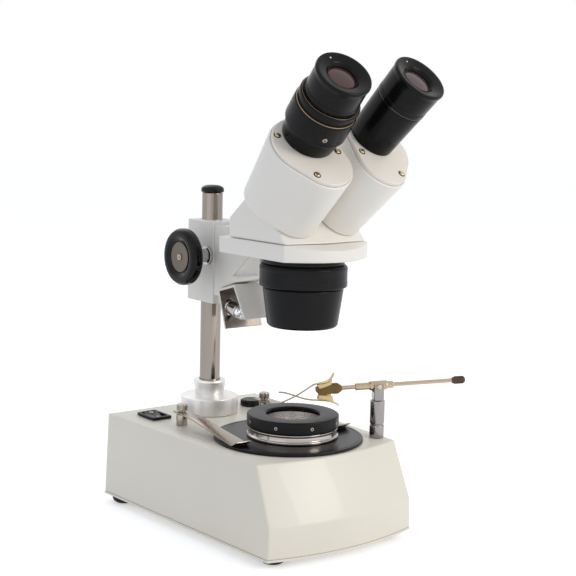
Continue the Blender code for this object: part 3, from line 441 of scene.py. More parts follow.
def openTree(name, **inputs):
    tree = bpy.data.node_groups.new(name, "GeometryNodeTree")
    for label, kind in inputs.items():
        tree.interface.new_socket(label, in_out="INPUT", socket_type="NodeSocket" + kind)
    tree.interface.new_socket("Geometry", in_out="OUTPUT", socket_type="NodeSocketGeometry")
    return tree, addNode(tree, "NodeGroupInput").outputs


def placeCopies(tree, given, points, angle):
    unit = addNode(tree, "GeometryNodeObjectInfo", None, {"Object": given["Unit"]})
    turn = addNode(tree, "ShaderNodeCombineXYZ", None, {"Z": angle})
    copies = addNode(tree, "GeometryNodeInstanceOnPoints", None, {
        "Points": points, "Instance": unit.outputs["Geometry"], "Rotation": turn.outputs[0]})
    return closeTree(tree, copies.outputs[0], given["Finish"])


def makeRingTree():
    tree, given = openTree("ringCopies", Count="Int", Radius="Float", Unit="Object", Finish="Material")
    ring = addNode(tree, "GeometryNodeMeshCircle", None, {
        "Vertices": given["Count"], "Radius": given["Radius"]})
    order = Link(tree, addNode(tree, "GeometryNodeInputIndex").outputs[0])
    return placeCopies(tree, given, ring.outputs[0], order / given["Count"] * (2 * math.pi))


def makeSpotTree():
    # Each copy is turned on from the last, so that screw slots don't line up.
    tree, given = openTree("spotCopies", Spots="Geometry", Unit="Object", Finish="Material")
    order = Link(tree, addNode(tree, "GeometryNodeInputIndex").outputs[0])
    return placeCopies(tree, given, given["Spots"], order * 1.9)


def makeWireTree():
    tree, given = openTree("bentWire", Route="Geometry", Radius="Float", Sides="Int", Finish="Material")
    route = addNode(tree, "GeometryNodeMeshToCurve", None, {"Mesh": given["Route"]})
    section = addNode(tree, "GeometryNodeCurvePrimitiveCircle", None, {
        "Resolution": given["Sides"], "Radius": given["Radius"]})
    wire = addNode(tree, "GeometryNodeCurveToMesh", None, {
        "Curve": route.outputs[0], "Profile Curve": section.outputs[0], "Fill Caps": True})
    return closeTree(tree, wire.outputs[0], given["Finish"])


def closeTree(tree, geometry, finish):
    real = addNode(tree, "GeometryNodeRealizeInstances", None, {0: geometry})
    painted = addNode(tree, "GeometryNodeSetMaterial", None, {
        "Geometry": real.outputs[0], "Material": finish})
    addNode(tree, "NodeGroupOutput", None, {"Geometry": painted.outputs[0]})
    return tree


ringTree = makeRingTree()
spotTree = makeSpotTree()
wireTree = makeWireTree()


def grow(name, tree, at, points=((0, 0, 0),), edges=(), angle=35, **values):
    # Runs a node tree on a few points and keeps the plain mesh it gives.
    seed = bpy.data.meshes.new(name)
    seed.from_pydata([Vector(p) * mm for p in points], edges, [])
    obj = bpy.data.objects.new(name, seed)
    bpy.context.scene.collection.objects.link(obj)
    modifier = obj.modifiers.new("grow", "NODES")
    modifier.node_group = tree
    for item in tree.interface.items_tree:
        if item.in_out == "INPUT" and item.name in values:
            modifier[item.identifier] = values[item.name]
    mesh = applyAll(obj)
    bm = bmesh.new()
    bm.from_mesh(mesh)
    bmesh.ops.recalc_face_normals(bm, faces=bm.faces)
    bm.to_mesh(mesh)
    bm.free()
    mesh.transform(at)
    smoothed(mesh, angle)
    unit = values.get("Unit")
    if unit:
        bpy.data.objects.remove(unit)
    return obj


def ringOf(name, unit, count, radius, at, material):
    return grow(name, ringTree, at, Count=count, Radius=radius * mm, Unit=unit, Finish=material)


def spotsOf(name, unit, spots, at, material):
    return grow(name, spotTree, at, points=spots, Unit=unit, Finish=material)


def wireAlong(name, points, radius, at, material, sides=12):
    run = [tuple(p) for p in throughPoints(points)]
    edges = [(i, i + 1) for i in range(len(run) - 1)]
    sizes = {"Radius": radius * mm, "Sides": sides}
    return grow(name, wireTree, at, points=run, edges=edges, Finish=material, **sizes)


def addScrews(name, radius, height, at, material, body, slotName, spots=((0, 0, 0),)):
    # Round heads with a sawn slot, standing on Z = 0.
    sunk = -0.4
    corners = [(0, sunk), (radius, sunk), (radius, height * 0.5, 0.15), (radius * 0.75, height, 0.3),
               (0, height)]
    sawn = block("slot", (-radius * 2, -radius * 0.14, height * 0.35),
                 (radius * 2, radius * 0.14, height * 2))
    unit = settle(cut(lathe("screw", corners, segments=20), sawn))
    keep(spotsOf(name, unit, spots, at, material), body, (), slotName)


def addRibs(name, low, high, soft, count, radius, at, material, body, slotName, segments=1):
    # Bars from low to high, set round the axis at the radius.
    unit = settle(softEdges(block("rib", low, high), soft, segments))
    keep(ringOf(name, unit, count, radius, at, material), body, (), slotName)


# finishes shared by several pieces

creamCoat = powderCoat("creamCoat", linear(237, 231, 216))
capCoat = powderCoat("capCoat", linear(244, 236, 224), 0.8)
castCoat = powderCoat("castCoat", linear(241, 237, 229))
gold = linear(204, 182, 136)
blackPlate = blackSatin("blackPlate", standing(2.1, -1.7), 0.34, 0.2, 0.005)
blackPlastic = plastic("blackPlastic", (0.005, 0.005, 0.006, 1), 0.34, 1.0, 0.2)
glossPlastic = plastic("glossPlastic", (0.003, 0.003, 0.003, 1), 0.11, 0.15, 0.2)
rubberFinish = plastic("rubberFinish", (0.007, 0.007, 0.007, 1), 0.6, 1.6, 0.3)
screwMetal = brushedMetal("screwMetal", linear(214, 196, 160), 0.26, (500, 500, 500))
steelStrip = brushedMetal("steelStrip", (0.36, 0.31, 0.27, 1), 0.2, (2600, 40, 900))
whiteInk = plastic("whiteInk", (0.8, 0.8, 0.78, 1), 0.5, 0.5)
print("finishes made")


# the lit base

gap = 0.3        # between pieces that stand on each other
deck = 55.8      # where things stand on the base
shell = {"top": 55.5, "wall": 2.5, "backY": 119.3, "frontTopY": -40.0, "frontLowY": -55.0,
         "breakZ": 20.6, "low": 1.75, "halfBack": 61.9, "halfFront": 54.8, "draft": 2.4, "bulge": 9.0,
         "edge": 0.9, "lampHole": 24.6}


def shellOutline(z, inset=0.0, steps=48):
    level = z / shell["top"]
    low = shell["breakZ"] / shell["top"]
    lean = max(0.0, (level - low) / (1 - low))
    frontY = shell["frontLowY"] + (shell["frontTopY"] - shell["frontLowY"]) * lean + inset
    halfBack = shell["halfBack"] + shell["draft"] * (1 - level) - inset
    halfFront = shell["halfFront"] + shell["draft"] * (1 - level) * 0.8 - inset
    points = [(-halfBack, shell["backY"] - inset), (halfBack, shell["backY"] - inset)]
    for i in range(steps + 1):
        t = 1 - 2 * i / steps
        points.append((halfFront * t, frontY - shell["bulge"] * (1 - t * t)))
    return points


def makeShell():
    heights = (shell["top"], shell["breakZ"], shell["low"])
    levels = [(shellOutline(z), z) for z in heights]
    for z in reversed(heights):
        top = z - (shell["wall"] if z == shell["top"] else 0)
        levels.append((shellOutline(z, shell["wall"]), top))
    case = softEdges(stack("baseShell", levels, Matrix(), creamCoat, 20), shell["edge"], 3, 18)
    hole = shell["lampHole"]
    cut(case, lathe("lampOpening", [(0, 45), (hole, 45), (hole, 60), (0, 60)]))
    cut(case, block("switchOpening", (-47, 85, 48), (-35, 103, 60)))
    cut(case, block("inletOpening", (9.5, 110, 18), (34.5, 125, 36)))
    keep(settle(case, 24), "base", ["base_housing"])


foot = {"radius": 8.0, "height": 4.8}


def makeFeet():
    for name in ("front_left", "front_right", "rear_left", "rear_right"):
        low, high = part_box("foot_" + name)
        at = standing((low.x + high.x) / 2 / mm, (low.y + high.y) / 2 / mm)
        r, h = foot["radius"], foot["height"]
        corners = [(0, 0), (r * 0.99, 0), (r, -0.9, 0.5), (r * 0.93, -h * 0.62, 1.5),
                   (r * 0.66, -h, 2.2), (r * 0.3, -h, 0.6), (r * 0.24, -h + 0.9, 0.4), (0, -h + 0.9)]
        rubber = lathe("rubber" + name.title().replace("_", ""), corners, at, rubberFinish, 48)
        keep(rubber, "base", ["foot_" + name])


stage = {"at": (2.1, -1.7), "plate": 47.5, "low": deck, "high": 57.6, "hole": 23.6, "setScrews": 8}


def makeStage():
    low, high, hole, plate = (stage[key] for key in ("low", "high", "hole", "plate"))
    corners = [(hole, low), (plate, low, 0.2), (plate, high, 0.6), (45.6, high), (45.4, high - 0.15),
               (45.0, high - 0.15), (44.8, high), (hole, high)]
    keep(lathe("stageDisc", corners, standing(0, 0), blackPlate, 144), "base", ["stage_plate"])

    at = standing(*stage["at"])
    bright = turnedMetal("condenserChrome", (0.45, 0.42, 0.39, 1), 0.1, at, 0.06)
    corners = [(20.4, 57.9), (29.1, 57.9, 0.3), (29.2, 59.3, 0.4), (28.2, 59.9, 0.3), (27.9, 62.4, 0.3),
               (28.6, 63.0, 0.3), (28.6, 63.9, 0.3), (20.4, 63.9)]
    keep(lathe("condenserRing", corners, at, bright, 144), "base", ["condenser_ring"])

    black = blackSatin("darkfieldBlack", at, 0.36, 0.06, 0.008)
    corners = [(20.4, 64.2), (28.7, 64.2, 0.3), (29.3, 64.9, 0.3), (29.3, 71.5, 0.5), (28.6, 72.1, 0.4),
               (17.9, 72.1, 0.4), (17.05, 71.3, 0.3), (17.05, 70.1), (20.4, 69.1)]
    ring = lathe("darkfieldRing", corners, at, black, 144)
    keep(ring, "base", ["darkfield_ring"])

    mirror = turnedMetal("bowlMirror", (0.85, 0.83, 0.82, 1), 0.2, at, 0.02, 600)
    outside = [(7.5 + 12.1 * math.sin(i / 16 * math.pi / 2), 32.6 + 36 * (i / 16) ** 1.6)
               for i in range(17)]
    inside = [(max(r - 1, 7), z) for r, z in reversed(outside)]
    keep(lathe("reflector", outside + inside, at, mirror, 96), "base", ["reflector_bowl"])

    # set screws round the dark-field ring
    turned = at @ standing(0, 0, 68) @ spun(-104)
    corners = [(0, -0.5), (1.1, -0.5), (1.1, 0.05, 0.1), (0.55, 0.05), (0.45, -0.35), (0, -0.35)]
    unit = lathe("setScrew", corners, spun(90, "Y"), None, 16)
    screws = ringOf("setScrews", unit, stage["setScrews"], 29.3, turned, steelStrip)
    keep(screws, "base", (), "darkfield_ring")


switch = {"at": (-41.0, 94.0, deck), "width": 15.0, "length": 21.0, "rockerHalf": 5.0,
          "rockerRun": 7.6, "tilt": 9}
dimmer = {"at": (35.5, 88.0, deck), "ribs": 24}
inlet = {"at": (22, 119.6, 27), "pins": ((-4.5, -1.4), (0, 1.6), (4.5, -1.4)), "screws": (-14.2, 14.2)}


def makeSwitchgear():
    at = standing(*switch["at"])
    neck = roundBox(switch["width"] / 2 - 1.3, switch["length"] / 2 - 1.3, 1.0)
    flange = roundBox(switch["width"] / 2, switch["length"] / 2, 1.4)
    levels = ((neck, -17), (neck, 0), (flange, 0), (flange, 1.8))
    frameBody = softEdges(stack("switchFrame", levels, at, blackPlastic), 0.35)
    cut(frameBody, slab("rockerOpening", roundBox(5.4, 8.4, 0.8), -5, 5, at))
    keep(settle(frameBody), "base", ["switch_housing"])

    pivot = at @ spun(switch["tilt"], "X")
    run = switch["rockerRun"]
    top = 1.7
    profile = [(-run, -3.5), (run, -3.5), (run, top)]
    profile += [(run * (1 - i / 8), top - 0.6 * math.sin(i / 16 * math.pi)) for i in range(1, 16)]
    profile += [(-run, top)]
    rocker = softEdges(sideSlab("rocker", profile, switch["rockerHalf"], pivot, glossPlastic), 0.4, 3, 40)
    keep(settle(rocker), "rocker", ["switch_rocker"])
    # generic on and off marks: a bar and a ring
    bar = softEdges(block("onBar", (-0.35, -5.4, 1.35), (0.35, -3.2, 1.62), pivot, whiteInk), 0.05)
    keep(settle(bar), "rocker", (), "switch_rocker")
    ringAt = pivot @ standing(0, 4.4)
    corners = [(0.9, 1.3), (1.3, 1.3), (1.3, 1.6, 0.05), (0.9, 1.6, 0.05)]
    keep(lathe("offRing", corners, ringAt, whiteInk, 32), "rocker", (), "switch_rocker")

    at = standing(*dimmer["at"])
    corners = [(3.2, 0), (7.9, 0, 0.3), (7.9, 1.0, 0.2), (7.3, 1.3, 0.2), (7.1, 3.5, 0.5), (6.2, 4.2, 0.4),
               (5.4, 4.0, 0.2), (0, 3.9), (0, 1.5), (3.2, 1.5)]
    keep(lathe("dimmerDial", corners, at, blackPlastic, 72), "dimmer", ["dimmer_knob"])
    addRibs("dimmerRibs", (-0.4, -0.35, 1.2), (0.35, 0.35, 3.5), 0.12, dimmer["ribs"], 7.3, at,
            blackPlastic, "dimmer", "dimmer_knob")
    mark = softEdges(block("dimmerMark", (2.2, -0.3, 3.85), (5.6, 0.3, 4.12), at, whiteInk), 0.05)
    keep(settle(mark), "dimmer", (), "dimmer_knob")

    # mains inlet on the back, with its pins
    at = frameOn([c * mm for c in inlet["at"]], (0, 1, 0), (0, 0, 1))
    neck = roundBox(12.0, 8.5, 2.0)
    flange = roundBox(16.5, 13.0, 2.5)
    levels = ((neck, -18), (neck, 0), (flange, 0), (flange, 2))
    socket = softEdges(stack("inletSocket", levels, at, blackPlastic), 0.4)
    cut(socket, slab("inletWell", roundBox(9, 6, 2.2), -12, 6, at))
    keep(settle(socket), "base", ["power_inlet"])
    for i, (u, v) in enumerate(inlet["pins"]):
        pin = block("inletPin%d" % i, (u - 0.5, v - 1.4, -12.1), (u + 0.5, v + 1.4, -3.5), at, steelStrip)
        keep(settle(softEdges(pin, 0.2, 2)), "base", (), "power_inlet")
    for i, u in enumerate(inlet["screws"]):
        place = at @ standing(u, 0, 1.35)
        addScrews("inletScrew%d" % i, 1.5, 0.6, place, screwMetal, "base", "power_inlet")


clipPost = {"radius": 3.6, "height": 14.0, "neck": 2, "ribs": 28}
blade = {"root": 8.4, "tip": 2.5, "thickness": 0.8, "turns": {"left": -2.7, "right": 8.0}}


def makeStageClips():
    for side in ("left", "right"):
        label = side.title()
        post = "clip_post_" + side
        low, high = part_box(post)
        at = standing((low.x + high.x) / 2 / mm, (low.y + high.y) / 2 / mm, deck)
        chrome = turnedMetal("clipChrome" + label, (0.42, 0.38, 0.33, 1), 0.15, at, 0.08)
        r, h, neck = clipPost["radius"], clipPost["height"], clipPost["neck"]
        corners = [(0, 0), (r, 0, 0.2), (r, 7.2, 0.4), (neck, 7.2), (neck, 9.6), (r - 0.3, 9.6, 0.2),
                   (r - 0.3, h, 0.7), (0.6, h), (0, h - 0.15)]
        keep(lathe("clipStud" + label, corners, at, chrome, 64), "base", [post])
        addRibs("clipKnurl" + label, (-0.3, -0.22, 10.1), (0.28, 0.22, 13.2), 0.1, clipPost["ribs"],
                r - 0.3, at, chrome, "base", post)

        root, tip = blade["root"], blade["tip"]
        stations = [(-5, 0, root, 3.6), (0, 0, root, 4.3), (8, 0, root, 4.5), (22.2, 0, root - 0.6, 4.6),
                    (44.4, 0, tip + 2.6, 5.0), (66.6, 0, tip, 5.9), (70.3, 0, tip + 0.4, 6.0),
                    (74, 0, tip + 2.6, 5.6)]
        bladeAt = at @ spun(blade["turns"][side] - 90)
        spring = bentStrip("clipBlade" + label, stations, blade["thickness"], bladeAt, steelStrip, 8)
        softEdges(spring, 0.15, 2, 50)
        cut(spring, lathe("studHole", [(0, 6), (2.3, 6), (2.3, 11), (0, 11)], at, None, 32))
        keep(settle(spring), "clip_" + side, ["clip_blade_" + side])


# pillar and focusing block

pillar = {"y": 88.7, "radius": 7.0, "top": 206.1, "flange": 19.5, "flangeHeight": 11.5, "collar": 11.0,
          "collarHeight": 22.8}


def makePillar():
    at = standing(0, pillar["y"])
    low = deck
    silver = turnedMetal("flangeAluminium", (0.8, 0.79, 0.78, 1), 0.38, at, 0.25, 1900)
    f, fh, c, ch = pillar["flange"], pillar["flangeHeight"], pillar["collar"], pillar["collarHeight"]
    bore = pillar["radius"] + gap
    corners = [(bore, low), (f, low, 0.3), (f, low + fh, 0.7), (c - 1.4, low + fh, 0.3),
               (c - 1.3, low + fh + 1.2, 0.3), (c, low + ch - 1.4, 0.3), (c - 0.5, low + ch, 0.4),
               (bore, low + ch)]
    keep(lathe("pillarFoot", corners, at, silver, 128), "base", ["pillar_flange"])

    chrome = turnedMetal("pillarChrome", (0.32, 0.28, 0.245, 1), 0.09, at, 0.05)
    r, top = pillar["radius"], pillar["top"]
    corners = [(0, low), (r, low), (r, top, 0.6), (0, top)]
    keep(lathe("pillarTube", corners, at, chrome, 96), "column", ["pillar"])
    corners = [(0, top + gap), (7.5, top + gap, 0.3), (7.8, top + 1.9, 0.3), (7.3, top + 3.6, 1.2),
               (4.6, top + 5.0, 1.6), (0, top + 5.3)]
    keep(lathe("pillarPlug", corners, at, blackPlastic, 64), "column", ["pillar_cap"])


focus = {"half": 12.5, "frontY": 69.0, "backY": 99.3, "z": 133.5, "height": 54.7, "shaftY": 74.6,
         "shaftZ": 165.5, "knobRadius": 18.7, "knobOut": 36.5, "knobThick": 8.5, "teeth": 12,
         "clampZ": 148.0, "clampRibs": 12}


def makeFocusBlock():
    half, front, back = focus["half"], focus["frontY"], focus["backY"]
    tip = front - 4.4
    outline = [(-half, front), (-7.7, front), (-7.7, tip), (-5, tip), (-5, front), (5, front), (5, tip),
               (7.7, tip), (7.7, front), (half, front), (half, back), (-half, back)]
    z = focus["z"]
    body = slab("focusBody", outline, z, z + focus["height"], Matrix(), castCoat)
    softEdges(body, 1.0, 3, 40)
    at = standing(0, pillar["y"])
    bore = pillar["radius"] + gap
    cut(body, lathe("bore", [(0, 120), (bore, 120), (bore, 200), (0, 200)], at, None, 64))
    shaft = (0, focus["shaftY"] * mm, focus["shaftZ"] * mm)
    across = frameOn(shaft, (1, 0, 0), (0, 0, 1))
    cut(body, lathe("shaftBore", [(0, -30), (3.3, -30), (3.3, 30), (0, 30)], across, None, 40))
    keep(settle(body), "carriage", ["focus_block"])

    # the chromed bushes that the shaft runs in, one each side
    chrome = turnedMetal("shaftChrome", (0.5, 0.49, 0.48, 1), 0.14, across, 0.08)
    bush = [(3, 12.8), (6.2, 12.8, 0.2), (6.2, 14.8, 0.5), (4.6, 15.2), (4.6, 27.4, 0.3), (3, 27.7), (3, 34)]
    mirrored = [(p[0], -p[1]) + p[2:] for p in reversed(bush)]
    corners = [(0, -34)] + mirrored + [(3, -4), (4.1, -4), (4.1, 4), (3, 4)] + bush + [(0, 34)]
    keep(lathe("focusShaft", corners, across, chrome, 64), "pinion", ["pinion_shaft"])
    addRibs("pinionTeeth", (-0.4, -0.65, -3.9), (1.3, 0.65, 3.9), 0.2, focus["teeth"], 4.1, across,
            chrome, "pinion", "pinion_shaft")

    for side, sign in (("left", -1), ("right", 1)):
        label = side.title()
        knob = "focus_knob_" + side
        at = frameOn(shaft, (sign, 0, 0), (0, 0, 1))
        r, out, thick = focus["knobRadius"], focus["knobOut"], focus["knobThick"]
        low = out - thick
        corners = [(3.3, low), (r - 2.6, low, 0.4), (r - 0.5, low + 0.9, 0.8), (r, low + 2.2, 0.6),
                   (r, out - 2.6, 1.0), (r - 1.7, out, 1.2), (r - 5.2, out, 0.6), (10.6, out - 1.5, 0.3),
                   (10.4, out - 1.9), (0, out - 1.9), (0, 34.3), (3.3, 34.3)]
        keep(lathe("focusWheel" + label, corners, at, glossPlastic, 128), "pinion", [knob])
        disc = turnedMetal("wheelDisc" + label, (0.15, 0.125, 0.105, 1), 0.2, at, 0.25, 1600)
        corners = [(0, out - 1.88), (9.9, out - 1.88), (9.9, out - 1.2, 0.4), (8.9, out - 1.0, 0.2),
                   (8.6, out - 1.25, 0.2), (3.2, out - 1.25, 0.2), (2.9, out - 1.5), (0, out - 1.5)]
        keep(lathe("wheelInsert" + label, corners, at, disc, 96), "pinion", (), knob)
        place = at @ standing(0, 0, out - 1.5)
        addScrews("wheelScrew" + label, 2.4, 1.1, place, steelStrip, "pinion", knob)

    at = frameOn((0, pillar["y"] * mm, focus["clampZ"] * mm), (0, 1, 0), (0, 0, 1))
    corners = [(0, 7.3), (2, 7.3), (2, 10.9), (6, 10.9, 0.4), (6.9, 13.9, 0.6), (7.1, 22.4, 0.6),
               (6.2, 23.8, 0.8), (3.4, 23.9, 0.3), (3.0, 23.4), (0, 23.3)]
    keep(lathe("clampScrew", corners, at, blackPlastic, 72), "clamp", ["clamp_knob"])
    addRibs("clampRibs", (-0.6, -0.7, 13.6), (0.85, 0.7, 22.6), 0.35, focus["clampRibs"], 7.1, at,
            blackPlastic, "clamp", "clamp_knob", 2)


# arm, lamp and head

arm = {"half": 11.8, "back": 68.7, "thick": 15.0, "frontY": 17.5, "low": 139.5, "top": 172.5}


def makeArm():
    back, top, low = arm["back"], arm["top"], arm["low"]
    inner = back - arm["thick"]
    profile = [(back, low), (back, top + 13.8), (inner, top + 13.8), (inner, top), (arm["frontY"], top),
               (arm["frontY"], top - 16.5), (45, top - 21.8), (61, top - 27.4), (61, low)]
    casting = sideSlab("armCasting", profile, arm["half"], Matrix(), castCoat)
    cut(casting, block("groove", (-8, back - 5, low - 10), (8, back + 5, top + 30)))
    for sign in (-1, 1):
        # a shallow cast recess in each cheek
        outline = [(48, top - 17.5), (30, top - 2.5), (20, top - 2.5), (20, top - 14), (40, top - 17.5)]
        cut(casting, sideSlab("recess", outline, 3.3, shift=sign * (arm["half"] + 0.6)))
    softEdges(casting, 0.7, 3, 35)
    keep(settle(casting), "head", ["focus_arm"])


lamp = {"half": 15.0, "sheet": 1.2, "top": 172.1, "joint": (-8.0, 51.9, 132.6), "dip": 12}


def makeLamp():
    top = lamp["top"]
    outer = [(50.9, top - 52.6), (59.5, top - 27.4), (41.5, top - 22), (28.4, top - 43)]
    centre = Vector((45.1, top - 36.3))
    backIn = Vector((49.8, top - 52.2))
    frontIn = Vector((29.5, top - 43.4))
    inner = [tuple(backIn)]
    for corner in outer[1:3]:
        point = Vector(corner)
        inner.append(tuple(point + (centre - point).normalized() * lamp["sheet"] * 1.5))
    inner.append(tuple(frontIn))
    hood = sideSlab("lampHood", outer + list(reversed(inner)), lamp["half"], Matrix(), castCoat)
    softEdges(hood, 0.45, 3, 30)
    dip = math.radians(lamp["dip"])
    at = frameOn([c * mm for c in lamp["joint"]], (0, -math.cos(dip), -math.sin(dip)), (0, 0, 1))
    hole = [(0, -20), (5.1, -20), (5.1, 3), (0, 3)]
    cut(hood, lathe("holderHole", hole, at, None, 40))
    keep(settle(hood), "head", ["lamp_shade"])
    # bare bright metal inside the hood, on the back and top walls; its dull brown colour is painted shade
    # and reflection of the hood's dark inside
    mirror = brushedMetal("hoodShadedMirror", (0.3, 0.26, 0.23, 1), 0.2, (60, 900, 900))
    skin = [tuple(Vector(corner) + (centre - Vector(corner)).normalized() * 0.3) for corner in inner[:3]]
    lining = sideSlab("hoodLining", inner[:3] + list(reversed(skin)), lamp["half"] - 0.4, Matrix(), mirror)
    cut(lining, lathe("liningHole", hole, at, None, 40))
    keep(settle(lining), "head", (), "lamp_shade")

    steel = turnedMetal("holderSteel", (0.5, 0.48, 0.46, 1), 0.16, at, 0.1)
    corners = [(0, -9), (3.4, -9, 0.6), (3.9, -7.6, 0.3), (4.8, -7.2, 0.3), (4.8, -2.2, 0.2),
               (4.35, -1.9, 0.1), (4.35, -1.3, 0.1), (4.8, -1.0, 0.2), (4.8, 6.4, 0.3), (4.5, 7, 0.2),
               (0, 7)]
    keep(lathe("lampHolder", corners, at, steel, 64), "head", ["lamp_socket"])
    glass = Finish("lampGlass", (0.9, 0.92, 0.93, 1), 0.04)
    glass.set("Transmission Weight", 0.85)
    glass.set("Roughness", 0.03 + glass.noise(90, 2) * 0.05)
    corners = [(0, 7.3), (3.8, 7.3, 0.2), (3.8, 10.5, 1.0), (3.5, 12.6, 1.2), (2.2, 14.2, 1.0), (0, 14.8)]
    keep(lathe("lampGlobe", corners, at, glass.material, 48), "head", ["lamp_bulb"])


head = {"z": 172.8, "plate": 10.0, "half": 33.0, "corner": 6, "backY": 37.0, "frontY": -33.0,
        "bulge": 15.0, "lipDrop": 4.2, "bodyHalf": 32.0, "bodyBackY": 24.5, "bodyBackTop": 195.5,
        "seat": 220.0, "slope": 38.0, "spread": 5.0}


def makeHead():
    outline = []
    r = head["corner"]
    for sx, start in ((1, 0), (-1, 1)):
        for i in range(9):
            a = math.pi / 2 * (start + i / 8)
            outline.append((sx * (head["half"] - r) + r * math.cos(a), head["backY"] - r + r * math.sin(a)))
    for i in range(49):
        t = -1 + 2 * i / 48
        outline.append((head["half"] * t, head["frontY"] - head["bulge"] * (1 - t * t)))
    low = head["z"]
    high = low + head["plate"]
    plate = slab("headPlate", outline, low, high, Matrix(), castCoat)
    brow = head["frontY"] - 0.5
    run = head["bulge"] + 6
    wedge = [(brow, high), (brow, high + 5), (brow - run, high + 5), (brow - run, high - head["lipDrop"])]
    cut(plate, sideSlab("lipCut", wedge, head["half"] + 5))
    softEdges(plate, 1.0, 3, 25)
    keep(settle(plate), "head", ["head_plate"])

    # the body's top is a roof: two seats that lean outwards, and a slope down to the back
    z = high + gap
    slope = math.tan(math.radians(head["slope"]))
    backY, backTop = head["bodyBackY"], head["bodyBackTop"]
    sections = []
    for x in (-head["bodyHalf"], 0, head["bodyHalf"]):
        seat = head["seat"] - abs(x) * math.tan(math.radians(head["spread"])) * math.sqrt(2)
        ridge = (backTop + slope * backY - seat) / (1 + slope)
        sections.append([(x, z - seat, z), (x, ridge, ridge + seat), (x, backY, backTop), (x, backY, z)])
    body = softEdges(loft("headBody", sections, Matrix(), castCoat), 1.6, 4, 30)
    keep(settle(body), "head", ["head_body"])


# the two eye sides

eye = {"lowRadius": 18.6, "highRadius": 22.8, "high": (6.0, 13.5), "taper": 3.0, "length": 48.1,
       "capThick": 2.0, "capInset": 1.3, "tube": (2.4, 19.1), "bore": 12.3, "rim": 51.8, "outer": 16.8,
       "screws": ((22.0, 22.6), (-12.7, 7.2), (10.4, -9.0)), "ticks": 36}


def housingOutline(side, inset=0.0, steps=36):
    high = Vector((side * eye["high"][0], eye["high"][1]))
    low, wide = eye["lowRadius"] - inset, eye["highRadius"] - inset
    heading = math.atan2(high.y, high.x)
    spread = math.acos((low - wide) / high.length)
    points = []
    for i in range(steps + 1):
        a = heading - spread + 2 * spread * i / steps
        points.append((high.x + wide * math.cos(a), high.y + wide * math.sin(a)))
    for i in range(steps + 1):
        a = heading + spread + (2 * math.pi - 2 * spread) * i / steps
        points.append((low * math.cos(a), low * math.sin(a)))
    return points


def eyeFrame(side):
    joint = joints["left_eye_swing" if side < 0 else "right_eye_swing"]
    return frameOn(joint["pos_m"], joint["axis"], (0, 1, 1))


